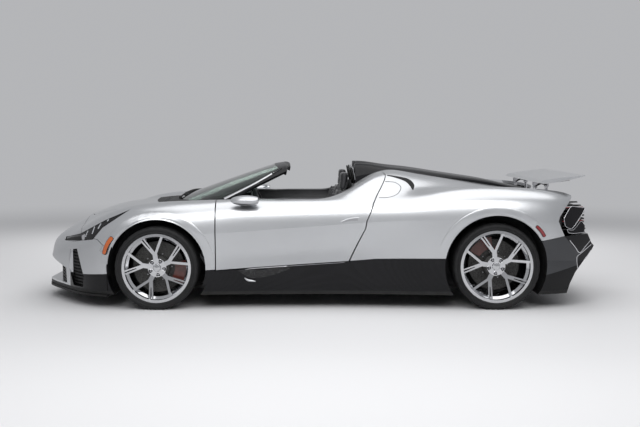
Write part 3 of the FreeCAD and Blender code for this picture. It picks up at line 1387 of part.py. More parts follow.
# Shares of the dashboard's rounded edges, and of the tunnel's fall to its rear end.
DASH_CREST_SHARE = 0.86
DASH_EDGE_SHARES = (2.0, 4.0, 5.0)
TUNNEL_END_SHARE = 0.8
dash_roll = s.skin * DASH_EDGE_SHARES[0]
dash_knee = dash_rear - s.skin * DASH_EDGE_SHARES[2]
dash_outline = [
    (dash_front, dash_bottom), (dash_front, dash_top - dash_roll), (dash_front * DASH_CREST_SHARE, dash_top),
    (dash_rear - s.skin * DASH_EDGE_SHARES[1], dash_top), (dash_rear, dash_top - dash_roll),
    (dash_rear - s.skin, dash_bottom + dash_roll), (dash_knee, dash_bottom)]
keep(padded_body("dashboard", dash_outline, s.cabin_half_width * 2.0 - s.door_seam * 2.0, middle))
tunnel_outline = [
    (cabin_front + s.seat_gap, seat_foot), (cabin_front + s.seat_gap, dash_bottom - s.seat_gap),
    (dash_knee, dash_bottom - s.seat_gap),
    (dash_rear + s.skin * DASH_EDGE_SHARES[2], seat_foot + s.tunnel_height),
    (cabin_rear - s.seat_gap, seat_foot + s.tunnel_height * TUNNEL_END_SHARE),
    (cabin_rear - s.seat_gap, seat_foot)]
keep(padded_body("centre_console", tunnel_outline, s.tunnel_half_width * 2.0, middle))


# Shares of the steering wheel's boss, spokes and column.
BOSS_SHARES = (0.3, 3.0)
SPOKE_SHARES = (2.0, 0.8)
COLUMN_SHARES = (2.2, 1.5)


def steering_wheel():
    """A rim with three spokes and a boss on a column from the dashboard, in the car's frame."""
    ring = Part.makeTorus(s.steering_radius, s.steering_rim)
    boss_depth = s.steering_rim * BOSS_SHARES[1]
    boss = Part.makeCylinder(s.steering_radius * BOSS_SHARES[0], boss_depth, Vector(0, 0, -boss_depth / 2.0))
    spoke_width = s.steering_rim * SPOKE_SHARES[0]
    spoke_depth = s.steering_rim * SPOKE_SHARES[1]
    spoke = Part.makeBox(s.steering_radius, spoke_width, spoke_depth,
                         Vector(0, -spoke_width / 2.0, -spoke_depth / 2.0))
    parts = [boss]
    for angle in (0.0, 90.0, 180.0):
        turned_spoke = spoke.copy()
        turned_spoke.rotate(Vector(0, 0, 0), Vector(0, 0, 1), angle)
        parts.append(turned_spoke)
    column = Part.makeCylinder(s.steering_rim * COLUMN_SHARES[0], s.steering_radius * COLUMN_SHARES[1],
                               Vector(0, 0, 0), Vector(0, 0, -1))
    wheel = ring.multiFuse(parts + [column])
    wheel.rotate(Vector(0, 0, 0), Vector(0, 0, 1), 90.0)
    wheel.rotate(Vector(0, 0, 0), Vector(0, 1, 0), 90.0 - float(s.steering_tilt))
    return wheel.translated(Vector(steering_x, -s.seat_centre, steering_z))


dash_face = [Vector(x, -s.cabin_half_width, z) for x, z in dash_outline]
dash_solid = polygon_face(dash_face).extrude(Vector(0, s.cabin_half_width, 0))
dash_reach = block((cabin_front, -s.cabin_half_width, low_down), (dash_rear - s.skin, middle, high_up))
keep(feature("steering_wheel", solids_of(without(steering_wheel(), dash_solid, dash_reach))))


# Shares of a door mirror's pod and of the arm that carries it.
POD_END_SHARE = 0.38
ARM_SHARES = (0.28, 1.1, 0.3)
ARM_PLACE_SHARES = (0.2, 0.36)


def mirror_shape():
    """The left door mirror: a long pod on a short arm, in the car's frame."""
    pod = Part.makeSphere(1.0)
    stretch = FreeCAD.Matrix()
    stretch.scale(s.mirror_length / 2.0, s.mirror_depth / 2.0, s.mirror_height / 2.0)
    pod = pod.transformGeometry(stretch)
    pod = pod.cut(block((s.mirror_length * POD_END_SHARE, -s.mirror_depth, -s.mirror_height),
                        (s.mirror_length, s.mirror_depth, s.mirror_height)))
    arm = Part.makeBox(
        s.mirror_length * ARM_SHARES[0], s.mirror_depth * ARM_SHARES[1], s.mirror_height * ARM_SHARES[2],
        Vector(-s.mirror_length * ARM_PLACE_SHARES[0], 0, -s.mirror_height * ARM_PLACE_SHARES[1]))
    return pod.fuse(arm).translated(Vector(mirror_x, -mirror_y, mirror_z))


mirror = without(mirror_shape(), outer_body)
keep(feature("mirror_left", solids_of(mirror)))
keep(feature("mirror_right", solids_of(mirrored(mirror))))

# The wing's section runs flat on top and hollow below, as shares of its chord and thickness.
WING_SHARES = (
    (0.0, 0.10), (0.10, 0.55), (0.35, 0.62), (0.70, 0.52), (1.0, 0.42), (1.0, 0.22), (0.70, -0.18),
    (0.35, -0.38), (0.10, -0.28),
)
STRUT_SHARES = (0.10, 0.36)
STRUT_TOP_SHARE = -0.3


def wing_point(place, level):
    """A point of the wing's section."""
    x = wing_front + (wing_rear - wing_front) * place
    z = wing_front_z + (wing_rear_z - wing_front_z) * place
    return Vector(x, -s.wing_half_span, z + s.wing_thickness * level)


wing_face = polygon_face([wing_point(place, level) for place, level in WING_SHARES])
wing_blade = wing_face.extrude(Vector(0, s.wing_half_span * 2.0, 0))
keep(feature("wing_blade", wing_blade))

strut_foot = well_floor - s.wing_travel - s.skin
struts = []
strut_holes = []
for place in STRUT_SHARES:
    top = wing_point(place, STRUT_TOP_SHARE)
    for y in (-s.wing_strut, s.wing_strut):
        foot = Vector(top.x, y, strut_foot)
        strut = Part.makeCylinder(s.strut_radius, wing_rear_z - strut_foot, foot).cut(wing_blade)
        struts.append(min(strut.Solids, key=lambda solid: solid.CenterOfMass.z))
        strut_holes.append(Part.makeCylinder(
            s.strut_radius + s.running_clearance, wing_rear_z - strut_foot + s.wing_travel + s.skin,
            foot - Vector(0, 0, s.wing_travel + s.skin)))
keep(feature("wing_struts", Part.makeCompound(struts)))
keep(feature("rear_deck", solids_of(without(deck_plate, tail_prism, *strut_holes))))
pipe_x = core_rear + s.seat_gap

# The structure's three frames part at the two bulkheads of the cabin.
front_bulkhead = cabin_front - s.skin
rear_bulkhead = cabin_rear + s.skin
cell_space = block((front_bulkhead, -far_side, low_down), (rear_bulkhead, far_side, high_up))
fore_space = block((ahead, -far_side, low_down), (front_bulkhead - s.seat_gap, far_side, high_up))
aft_space = block((rear_bulkhead + s.seat_gap, -far_side, low_down), (behind, far_side, high_up))
cell = structure.common(cell_space).multiFuse(hinges + [mirrored(leaf) for leaf in hinges])
keep(feature("structure", solids_of(cell)))
keep(feature("front_frame", solids_of(structure.common(fore_space))))
keep(feature("rear_frame", solids_of(without(structure.common(aft_space), *strut_holes))))


def marker(ends):
    """A marker lamp on each side, let into the skin."""
    return both_sides(without(shell.common(strip_between(ends[0], ends[1], s.marker_width, middle)),
                              front_room, rear_room))


keep(feature("marker_lamps_amber", solids_of(marker(AMBER_SHARES))))
keep(feature("marker_lamps_red", solids_of(marker(RED_SHARES))))

lamp_levels = [louvre_bottom + pitch * (row + 0.5) + s.louvre_thickness / 2.0 for row in TAIL_LAMP_ROWS]
LAMP_SLAT_SHARE = 0.6
lamp_slat = s.louvre_thickness * LAMP_SLAT_SHARE
tail_lamps = [louvre_space.common(slab_at(z - lamp_slat / 2.0, lamp_slat)) for z in lamp_levels]
keep(feature("tail_lamps", solids_of(without(Part.makeCompound(tail_lamps), *carriers))))

pipes = []
for y in (-s.pipe_spread, s.pipe_spread):
    start = Vector(pipe_x, y, pipe_z)
    reach = along(2.0) - s.skin - pipe_x
    pipe = Part.makeCylinder(s.pipe_radius, reach, start, Vector(1, 0, 0))
    bore_start = start + Vector(s.skin, 0, 0)
    bore = Part.makeCylinder(s.pipe_radius - s.pipe_wall, reach, bore_start, Vector(1, 0, 0))
    pipes.append(pipe.cut(bore))
keep(feature("tailpipes", Part.makeCompound(pipes)))

# The splitter is a plate under the nose that follows the body's foot and stands out a little all round.
foot_line = [section[-1] for section in body_sections[:SPLITTER_STATIONS]]
lip_line = [Vector(along(-1.0), 0, 0)] + [Vector(p.x, p.y + s.splitter_reach, 0) for p in foot_line]
lip_points = [Vector(p.x, -p.y, 0) for p in reversed(lip_line[1:])] + lip_line
lip_curve = Part.BSplineCurve()
lip_curve.interpolate(lip_points)
lip_end = Part.LineSegment(lip_points[-1], lip_points[0])
splitter_face = Part.Face(Part.Wire([lip_curve.toShape(), lip_end.toShape()]))
splitter = splitter_face.extrude(Vector(0, 0, s.splitter_drop)).translated(
    Vector(0, 0, s.sill_level - s.splitter_drop - s.seat_gap))
splitter_space = block((ahead, -far_side, low_down), (along(SPLITTER_END_SHARE), far_side, high_up))
splitter = splitter.common(splitter_space)
keep(feature("front_splitter", solids_of(without(splitter, front_room))))

# The grilles are thin slatted sheets a little way inside the openings of the nose.
slot_height = s.grille_pitch / 2.0
slots = [slab_at(floor_top + slot_height + s.grille_pitch * row, slot_height) for row in range(GRILLE_ROWS)]
mouth_half = s.half_width * MOUTH_SHARES[1][0]
ribs = [block((ahead, y - s.grille_sheet / 2.0, low_down), (core_front, y + s.grille_sheet / 2.0, high_up))
        for y in [mouth_half * share for share in GRILLE_RIB_SHARES]]
slot_cut = without(Part.makeCompound(slots), *ribs)
grille_x = along(GRILLE_SHARE)
mouth_sheet = bowed_block(
    [(grille_x, floor_top), (grille_x, s.rocker_level + s.overrun),
     (grille_x + s.grille_sheet, s.rocker_level + s.overrun), (grille_x + s.grille_sheet, floor_top)],
    far_side, s.front_overhang * GRILLE_BOW_SHARE)
mouth_room = polygon_face([Vector(ahead, y, z) for y, z in mouth_outline]).makeOffset2D(-s.seat_gap, join=2)
mouth_room = mouth_room.extrude(Vector(core_front - ahead, 0, 0))
mouth_grille = without(mouth_sheet.common(mouth_room), slot_cut)
duct_depth = lofted(inset_sections(body_sections, s.skin + s.seat_gap + s.grille_sheet), BODY_PATCHES)
duct_sheet = without(core_body.common(duct_back), duct_depth, slot_cut)
keep(feature("front_grilles", solids_of(Part.makeCompound([mouth_grille, both_sides(duct_sheet)]))))


def check_and_write():
    """Stop on any failed object, then write each sub-part's file."""
    doc.recompute()
    for item in doc.Objects:
        if "Invalid" in item.State or "Error" in item.State:
            raise RuntimeError("%s failed: %s" % (item.Label, item.State))
    os.makedirs("parts", exist_ok=True)
    for item in nodes:
        if item.Shape.isNull() or not item.Shape.isValid():
            raise RuntimeError("%s has no valid shape" % item.Label)
        item.Shape.exportStep("parts/%s.step" % item.Label)


check_and_write()
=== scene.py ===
"""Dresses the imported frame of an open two-seat roadster: finishes, trim, cabin, wheels and a plain studio."""

import json
from math import copysign, cos, exp, pi, radians, sin, sqrt, tau

import bmesh
import bpy
from bpy.props import FloatProperty, FloatVectorProperty, IntProperty, PointerProperty
from mathutils import Matrix, Vector
from mathutils.bvhtree import BVHTree

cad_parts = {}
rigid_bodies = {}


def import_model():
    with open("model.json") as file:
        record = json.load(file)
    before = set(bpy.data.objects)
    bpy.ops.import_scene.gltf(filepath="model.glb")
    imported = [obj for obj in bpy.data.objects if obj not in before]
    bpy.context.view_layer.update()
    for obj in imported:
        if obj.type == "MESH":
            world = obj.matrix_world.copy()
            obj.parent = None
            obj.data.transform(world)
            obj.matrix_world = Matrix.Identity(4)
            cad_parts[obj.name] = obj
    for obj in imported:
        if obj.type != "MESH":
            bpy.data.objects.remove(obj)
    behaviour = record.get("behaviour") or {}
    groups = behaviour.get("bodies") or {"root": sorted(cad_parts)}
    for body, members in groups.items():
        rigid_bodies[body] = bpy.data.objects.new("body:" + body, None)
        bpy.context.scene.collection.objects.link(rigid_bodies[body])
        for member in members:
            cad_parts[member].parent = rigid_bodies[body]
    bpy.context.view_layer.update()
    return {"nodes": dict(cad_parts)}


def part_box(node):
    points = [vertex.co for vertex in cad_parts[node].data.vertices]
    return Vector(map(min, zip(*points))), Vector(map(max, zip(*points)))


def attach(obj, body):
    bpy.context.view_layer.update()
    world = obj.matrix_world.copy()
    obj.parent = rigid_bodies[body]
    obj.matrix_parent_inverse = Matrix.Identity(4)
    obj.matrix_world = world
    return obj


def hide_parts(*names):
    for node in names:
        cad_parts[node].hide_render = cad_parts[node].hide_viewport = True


bl_info = {
    "name": "Open roadster dressing",
    "version": (1, 0, 0),
    "blender": (4, 5, 0),
    "location": "View3D > Sidebar > Roadster",
    "description": "Builds the finishes, trim, cabin and studio of an open roadster on its packed frame",
    "category": "Object",
}

for stray in list(bpy.data.objects):
    bpy.data.objects.remove(stray)

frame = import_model()
NODES = frame["nodes"]

HANDS = ((-1, "left"), (1, "right"))
AXLES = ("front", "rear")
LIFT, SINK = 0.0008, 0.002


# Settings

def length(name, description, default):
    """A setting in metres."""
    return FloatProperty(name=name, description=description, default=default, unit="LENGTH")


def watts(name, description, default):
    """A lamp's power setting."""
    return FloatProperty(name=name, description=description, default=default, unit="POWER")


def tint(name, description, default):
    """A colour setting."""
    return FloatVectorProperty(
        name=name, description=description, subtype="COLOR", default=default, min=0.0, max=1.0)


class StageSettings(bpy.types.PropertyGroup):
    """Floor, lamps and camera."""
    floor_colour: tint("Floor colour", "Colour of the plain floor", (0.74, 0.74, 0.75))
    backdrop_colour: tint("Backdrop colour", "Colour behind the car and in its reflections", (0.46, 0.465, 0.48))
    sky_level: FloatProperty(
        name="Sky level", description="Strength of the even light from all round", default=0.62, min=0.0)
    floor_radius: length("Floor radius", "Radius of the floor disc", 60.0)
    overhead_power: watts("Overhead power", "Power of the wide lamp above the car", 150.0)
    flank_power: watts("Flank power", "Power of the long lamps beside the car", 210.0)
    lens: FloatProperty(name="Lens", description="Focal length of the camera in millimetres", default=59.06)
    camera_place: FloatVectorProperty(
        name="Camera place", description="Where the camera stands", subtype="TRANSLATION", unit="LENGTH",
        default=(0.0455, -9.295, 1.402))
    camera_dip: FloatProperty(
        name="Camera dip", description="How far the camera looks down", subtype="ANGLE", default=radians(4.345))


class FinishSettings(bpy.types.PropertyGroup):
    """Colours of the main finishes."""
    silver: tint("Silver paint", "Colour of the satin silver body paint", (0.54, 0.55, 0.565))
    gloss_black: tint("Gloss black", "Colour of the glossy dark lower body", (0.006, 0.006, 0.007))
    bumper_grey: tint("Bumper grey", "Colour of the dark rear bumper", (0.06, 0.062, 0.067))
    leather: tint("Leather", "Colour of the cabin leather", (0.022, 0.022, 0.025))
    chrome: tint("Wheel metal", "Colour of the polished wheels", (0.58, 0.585, 0.60))
    rubber: tint("Rubber", "Colour of the tyres", (0.009, 0.009, 0.0095))


class WheelSettings(bpy.types.PropertyGroup):
    """Tyres, wheel caps and brakes."""
    groove_width: length("Groove width", "Width of a groove round the tread", 0.011)
    groove_depth: length("Groove depth", "Depth of a groove round the tread", 0.0065)
    slot_depth: length("Slot depth", "Depth of the slots across the tyre's shoulders", 0.004)
    tread_steps: IntProperty(name="Tread steps", description="Facets round one tyre", default=192, min=48)
    cap_radius: length("Cap radius", "Radius of the blank wheel cap", 0.030)
    hole_radius: length("Hole radius", "Radius of a drilled hole in a brake disc", 0.0035)


class TrimSettings(bpy.types.PropertyGroup):
    """Lines and small trim on the body."""
    lip_width: length("Arch lip width", "Width of the raised lip round a wheel arch", 0.064)
    lip_rise: length("Arch lip rise", "How far the lip stands out at its outer edge", 0.0075)
    seam_width: length("Seam width", "Width of a thin shut line", 0.007)
    seam_rise: length("Seam rise", "How far a dark line stands off the paint", 0.0006)


class CabinSettings(bpy.types.PropertyGroup):
    """Seats and their padding."""
    channel_depth: length("Channel depth", "Depth of a sewn channel in a cushion", 0.011)
    piping_radius: length("Piping radius", "Radius of the piping along a cushion's edge", 0.0032)
    fill: FloatProperty(
        name="Fill", description="How tight the cushions are, from slack to full", subtype="FACTOR",
        default=0.75, min=0.0, max=1.0)


# Finishes

DARK = (0.008, 0.008, 0.009, 1.0)
FLAKE_SCALE = 2600.0


def add_node(tree, kind, inputs=(), **values):
    """A shader node with its settings made and its inputs linked or set."""
    made = tree.nodes.new("ShaderNode" + kind)
    for key, value in values.items():
        setattr(made, key, value)
    for key, value in dict(inputs).items():
        if isinstance(value, bpy.types.NodeSocket):
            tree.links.new(value, made.inputs[key])
        else:
            made.inputs[key].default_value = value
    return made


class Shader:
    """One material around its main surface shader."""

    def __init__(self, name, **values):
        self.material = bpy.data.materials.new(name)
        self.material.use_nodes = True
        self.tree = self.material.node_tree
        self.surface = self.tree.nodes["Principled BSDF"]
        for key, value in values.items():
            label = key.replace("_", " ").title().replace("Ior", "IOR")
            self.surface.inputs[label].default_value = (*value, 1.0) if hasattr(value, "__len__") else value
        self.place = self.node("TexCoord").outputs["Object"]

    def node(self, kind, inputs=(), **values):
        return add_node(self.tree, kind, inputs, **values)

    def colour(self, source):
        self.tree.links.new(source, self.surface.inputs["Base Color"])

    def gloss(self, source, low, high, start=0.0, stop=1.0):
        self.tree.links.new(self.spread(source, low, high, start, stop), self.surface.inputs["Roughness"])

    def bump(self, source, strength, distance):
        made = self.node("Bump", {"Height": source, "Strength": strength, "Distance": distance})
        self.tree.links.new(made.outputs["Normal"], self.surface.inputs["Normal"])

    def noise(self, scale, detail=3.0, roughness=0.55):
        return self.node("TexNoise", {"Vector": self.place, "Scale": scale, "Detail": detail,
                                      "Roughness": roughness}).outputs["Fac"]

    def cells(self, scale, feature="F1", output="Distance"):
        return self.node("TexVoronoi", {"Vector": self.place, "Scale": scale}, feature=feature).outputs[output]

    def waves(self, scale, direction):
        return self.node("TexWave", {"Vector": self.place, "Scale": scale}, bands_direction=direction).outputs["Fac"]

    def axis(self, name):
        return self.node("SeparateXYZ", {"Vector": self.place}).outputs[name]

    def calc(self, first, second, operation="ADD"):
        """The outcome of one step of arithmetic."""
        return self.node("Math", {0: first, 1: second}, operation=operation).outputs[0]

    def slope(self, first, second, share, operation="ADD"):
        """One axis plus or minus a share of another, for slanted edges."""
        return self.calc(self.axis(first), self.calc(self.axis(second), share, "MULTIPLY"), operation)

    def spread(self, source, low, high, start=0.0, stop=1.0):
        return self.node("MapRange", {"Value": source, "From Min": start, "From Max": stop, "To Min": low,
                                      "To Max": high}).outputs["Result"]

    def tones(self, source, dark, light, start=0.3, stop=0.7):
        ramp = self.node("ValToRGB", {"Fac": source})
        for end, place, colour in zip(ramp.color_ramp.elements, (start, stop), (dark, light)):
            end.position, end.color = place, (*colour, 1.0)
        return ramp.outputs["Color"]

    def over_dark(self, share, colour):
        """A colour where the share is one, and near black where it is nought."""
        return self.node("Mix", {0: share, 6: DARK, 7: colour}, data_type="RGBA").outputs[2]


def paint(key, share=1.0):
    """A colour from the settings, darker or lighter by a share."""
    return tuple(max(0.0, min(1.0, c * share)) for c in getattr(bpy.context.scene.roadster_finish, key))


def patchy(name, patch, dark, light, gloss=None, grain=None, **values):
    """A finish whose colour and gloss drift with one noise, under a finer grain."""
    s = Shader(name, **values)
    drift = s.noise(*patch)
    s.colour(s.tones(drift, dark, light))
    if gloss:
        s.gloss(drift, *gloss)
    if grain:
        scale, detail, strength, depth = grain
        s.bump(s.noise(scale, detail), strength, depth)
    return s


def silver_paint(name="satin_silver_paint"):
    """Silver paint with fine flake under a satin coat."""
    s = Shader(name, metallic=0.82, roughness=0.3, coat_weight=0.35, coat_roughness=0.12)
    drift = s.noise(1.6, 2.0)
    flake = s.calc(s.cells(FLAKE_SCALE), drift, "MULTIPLY")
    s.colour(s.tones(flake, paint("silver", 0.94), paint("silver", 1.04), 0.05, 0.5))
    s.gloss(drift, 0.27, 0.33)
    s.bump(s.noise(420.0, 2.0), 0.035, 0.0004)
    return s


def nose_paint():
    """Silver paint with the black foot between the corner duct and the front wheel."""
    s = silver_paint("silver_paint_with_black_foot")
    x = s.axis("X")
    above = s.spread(s.slope("Z", "X", 0.0796, "SUBTRACT"), 0.0, 1.0, 0.4128, 0.4158)
    ahead = s.spread(x, 1.0, 0.0, -2.032, -2.028)
    behind = s.spread(x, 0.0, 1.0, -1.60, -1.59)
    silver = s.calc(s.calc(above, ahead, "MAXIMUM"), behind, "MAXIMUM")
    flake = s.tones(s.cells(FLAKE_SCALE), paint("silver", 0.96), paint("silver", 1.03), 0.05, 0.6)
    s.colour(s.over_dark(silver, flake))
    return s


def mirror_paint():
    """Silver on the upper pod and dark on the base that carries it."""
    s = silver_paint("mirror_two_tone_paint")
    edge = s.spread(s.slope("Z", "X", 0.06), 0.0, 1.0, 0.80, 0.84)
    s.colour(s.tones(edge, (0.05, 0.05, 0.055), paint("silver"), 0.36, 0.42))
    return s


def gloss_black():
    """Dark woven laminate under a deep clear coat."""
    s = Shader("gloss_black_weave", roughness=0.3, specular_ior_level=0.16, coat_weight=0.12, coat_roughness=0.04)
    check = s.node("TexChecker", {"Vector": s.place, "Scale": 220.0}).outputs["Fac"]
    weave = s.node("Mix", {0: check, 2: s.waves(70.0, "DIAGONAL"), 3: s.waves(70.0, "Z")}).outputs[0]
    s.colour(s.tones(weave, paint("gloss_black", 0.6), paint("gloss_black", 1.9), 0.25, 0.8))
    s.gloss(weave, 0.26, 0.4)
    return s


def bumper_paint():
    """Dark grey paint with a black lower edge and a black rear corner."""
    s = Shader("dark_grey_bumper_paint", metallic=0.7, roughness=0.34, coat_weight=0.25, coat_roughness=0.06)
    low = s.spread(s.slope("Z", "X", 0.239, "SUBTRACT"), 0.0, 1.0, -0.1735, -0.1695)
    upper = s.spread(s.slope("X", "Z", 0.968), 1.0, 0.0, 2.565, 2.569)
    lower = s.spread(s.slope("X", "Z", 0.26, "SUBTRACT"), 1.0, 0.0, 2.037, 2.041)
    side = s.calc(low, s.calc(upper, lower, "MINIMUM"), "MINIMUM")
    grey = s.tones(s.noise(900.0, 2.0), paint("bumper_grey", 0.9), paint("bumper_grey", 1.12))
    s.colour(s.over_dark(side, grey))
    s.gloss(s.noise(3.0), 0.3, 0.38)
    s.bump(s.noise(500.0, 2.0), 0.03, 0.0004)
    return s


def moulded_black(name="moulded_black", tone=0.018, grain=0.25):
    """Black moulded plastic with a fine grain."""
    s = patchy(name, (14.0,), (tone * 0.8,) * 3, (tone * 1.3,) * 3, (0.42, 0.56), roughness=0.48,
               specular_ior_level=0.2)
    s.bump(s.cells(1300.0, "SMOOTH_F1"), grain, 0.0003)
    return s


def screen_glass():
    """Thick tinted windscreen glass with a faint haze."""
    s = Shader("tinted_screen_glass", roughness=0.0, ior=1.45, transmission_weight=1.0, specular_ior_level=0.4)
    s.gloss(s.noise(5.0), 0.0, 0.03)
    s.colour(s.tones(s.axis("Z"), (0.10, 0.145, 0.125), (0.17, 0.22, 0.195), 0.85, 1.14))
    return s


def lamp_glass():
    """Smoked lamp cover."""
    s = patchy("smoked_lamp_cover", (22.0,), (0.006, 0.006, 0.007), (0.014, 0.0145, 0.016), roughness=0.1,
               specular_ior_level=0.3, coat_weight=0.2, coat_roughness=0.02)
    s.gloss(s.noise(30.0), 0.05, 0.12)
    return s


def lens(name, deep, bright, glow=0.0):
    """A coloured lamp lens with fine prism ribs, and a faint painted glow of its bright colour where glow is set."""
    s = Shader(name, roughness=0.14, coat_weight=1.0, coat_roughness=0.03, emission_color=bright,
               emission_strength=glow)
    ribs = s.waves(60.0, "Z")
    s.colour(s.tones(ribs, deep, bright, 0.2, 0.8))
    s.bump(ribs, 0.35, 0.001)
    return s


def polished(name, colour, roughness=0.06, grain=0.0):
    """Bright metal with faint polishing marks."""
    return patchy(name, (60.0, 4.0, 0.7), [min(1.0, c * 0.93) for c in colour], [min(1.0, c * 1.03) for c in colour],
                  (roughness, roughness + 0.09), grain and (700.0, 2.0, grain, 0.0002), metallic=1.0,
                  roughness=roughness)


def disc_face():
    """Grey ceramic brake ring with chopped fibre flecks."""
    s = Shader("ceramic_brake_disc", metallic=0.35, roughness=0.42)
    flecks = s.cells(160.0, output="Color")
    s.colour(s.tones(flecks, (0.028, 0.027, 0.026), (0.075, 0.074, 0.07), 0.1, 0.9))
    s.gloss(s.noise(50.0), 0.34, 0.5)
    s.bump(s.noise(380.0), 0.12, 0.0003)
    return s


def cast_metal(name, dark, light):
    """Sand-cast aluminium."""
    return patchy(name, (35.0, 5.0), (dark,) * 3, (light,) * 3, (0.4, 0.62), (420.0, 4.0, 0.3, 0.0006),
                  metallic=0.9, roughness=0.5)


def hide(name="black_leather", pores=900.0):
    """Soft leather with creased grain."""
    s = patchy(name, (7.0, 4.0), paint("leather", 0.8), paint("leather", 1.5), (0.4, 0.58), roughness=0.5,
               sheen_weight=0.15, sheen_roughness=0.5)
    s.bump(s.calc(s.cells(pores, "SMOOTH_F1"), s.calc(s.noise(160.0), 0.4, "MULTIPLY")), 0.4, 0.0005)
    return s


def woven(name, dark, light, scale):
    """Woven textile such as carpet or belt webbing."""
    s = Shader(name, roughness=0.85, sheen_weight=0.4, sheen_roughness=0.6)
    threads = s.calc(s.waves(scale * 0.3, "X"), s.waves(scale * 0.3, "Y"), "MULTIPLY")
    fuzz = s.noise(scale)
    s.colour(s.tones(s.calc(threads, fuzz, "MULTIPLY"), dark, light, 0.1, 0.6))
    s.gloss(fuzz, 0.75, 0.95)
    s.bump(s.calc(threads, fuzz), 0.5, 0.0008)
    return s


def mesh_screen():
    """Fine dark honeycomb mesh behind an opening."""
    s = Shader("dark_honeycomb_mesh", metallic=0.5, roughness=0.45)
    comb = s.cells(120.0, "DISTANCE_TO_EDGE")
    s.colour(s.tones(comb, (0.05, 0.05, 0.052), (0.003, 0.003, 0.003), 0.08, 0.16))
    s.gloss(comb, 0.35, 0.8, 0.0, 0.2)
    s.bump(comb, -0.8, 0.002)
    return s


MAKERS = {
    "silver_paint": silver_paint,
    "nose_paint": nose_paint,
    "mirror_paint": mirror_paint,
    "gloss_black": gloss_black,
    "bumper_paint": bumper_paint,
    "moulded_black": moulded_black,
    "satin_black": lambda: moulded_black("satin_black_trim", 0.009, 0.12),
    "inner_structure": lambda: patchy(
        "dark_inner_structure", (9.0, 5.0, 0.65), (0.012, 0.012, 0.013), (0.03, 0.03, 0.032), (0.6, 0.82),
        (240.0, 3.0, 0.15, 0.0005), roughness=0.7, metallic=0.2),
    "screen_glass": screen_glass,
    "lamp_glass": lamp_glass,
    # The amber and red lenses carry a faint painted glow.
    "amber_lens": lambda: lens("amber_side_lens", (0.32, 0.055, 0.006), (0.62, 0.13, 0.012), 0.05),
    "red_lens": lambda: lens("red_lamp_lens", (0.10, 0.004, 0.006), (0.30, 0.012, 0.016), 0.04),
    "warm_lens": lambda: lens("red_brown_lamp_lens", (0.035, 0.006, 0.005), (0.09, 0.015, 0.012)),
    "clear_bar": lambda: lens("clear_lamp_bar", (0.30, 0.31, 0.33), (0.6, 0.62, 0.65)),
    "chrome": lambda: polished("polished_wheel_metal", paint("chrome"), 0.05),
    "bright_trim": lambda: polished("polished_trim", (0.62, 0.62, 0.64), 0.1, 0.05),
    "satin_metal": lambda: polished("satin_aluminium", (0.42, 0.42, 0.44), 0.28, 0.1),
    "mirror_silver": lambda: polished("mirror_silvering", (0.82, 0.84, 0.86), 0.01),
    "rubber": lambda: patchy(
        "tyre_rubber", (26.0, 4.0), paint("rubber", 0.75), paint("rubber", 1.5), (0.52, 0.72),
        (900.0, 2.0, 0.12, 0.0004), roughness=0.62, specular_ior_level=0.3),
    "disc_face": disc_face,
    "caliper_paint": lambda: patchy(
        "caliper_red_paint", (40.0,), (0.07, 0.014, 0.009), (0.12, 0.022, 0.014), None,
        (300.0, 3.0, 0.15, 0.0004), roughness=0.3, coat_weight=0.6, coat_roughness=0.1),
    "suspension_metal": lambda: cast_metal("cast_suspension_metal", 0.14, 0.26),
    "engine_metal": lambda: cast_metal("cast_engine_metal", 0.08, 0.2),
    "leather": hide,
    "steering_leather": lambda: hide("perforated_steering_leather", 1500.0),
    "thread": lambda: woven("grey_stitch_thread", (0.1, 0.1, 0.105), (0.26, 0.26, 0.27), 2500.0),
    "carpet": lambda: woven("black_carpet", (0.006, 0.006, 0.007), (0.03, 0.03, 0.032), 500.0),
    "webbing": lambda: woven("belt_webbing", (0.01, 0.01, 0.011), (0.045, 0.045, 0.048), 900.0),
    "mesh_screen": mesh_screen,
    "dial_face": lambda: patchy(
        "dial_face", (120.0,), (0.012, 0.012, 0.014), (0.03, 0.03, 0.034), None, (900.0, 3.0, 0.1, 0.0002),
        roughness=0.5, metallic=0.2),
}
MADE = {}


def finish(key):
    """The material of that name, made once."""
    if key not in MADE:
        MADE[key] = MAKERS[key]().material
    return MADE[key]


# The finish of each of the record's slots, of single nodes that differ, and the usual slot of a new piece's finish.
SLOT_FINISHES = {
    "black_gloss": "gloss_black", "grey_bumper": "bumper_paint", "black_plastic": "moulded_black",
    "dark_structure": "inner_structure", "glass": "screen_glass", "chrome_wheel": "chrome",
    "tyre_rubber": "rubber", "brake_disc": "disc_face", "caliper_red": "caliper_paint",
    "chrome_trim": "bright_trim",
}
NODE_FINISHES = {
    "mirror_left": "mirror_paint", "mirror_right": "mirror_paint", "front_splitter": "satin_black",
    "rear_louvres": "satin_black", "engine_cover": "gloss_black", "nose": "nose_paint",
    "front_wings": "nose_paint", "marker_lamps_amber": "silver_paint",
}
USUAL_SLOTS = {
    "satin_black": "black_plastic", "mesh_screen": "black_plastic", "rubber": "black_plastic",
    "dial_face": "black_plastic", "gloss_black": "black_gloss", "bright_trim": "chrome_trim",
    "satin_metal": "chrome_trim", "mirror_silver": "chrome_trim", "chrome": "chrome_wheel",
    "thread": "leather", "webbing": "leather", "carpet": "leather", "warm_lens": "red_lens",
    "clear_bar": "lamp_glass",
}


# Shapes

def circle(count, more=0):
    """Cosines and sines of even turns round a circle."""
    return [(cos(tau * k / count), sin(tau * k / count)) for k in range(count + more)]


def squared(value, power):
    """A cosine or sine drawn towards a rounded square."""
    return copysign(abs(value) ** power, value)


def across_from(along):
    """Two directions square to one another and to the given one."""
    side = along.orthogonal().normalized()
    return side, along.cross(side)


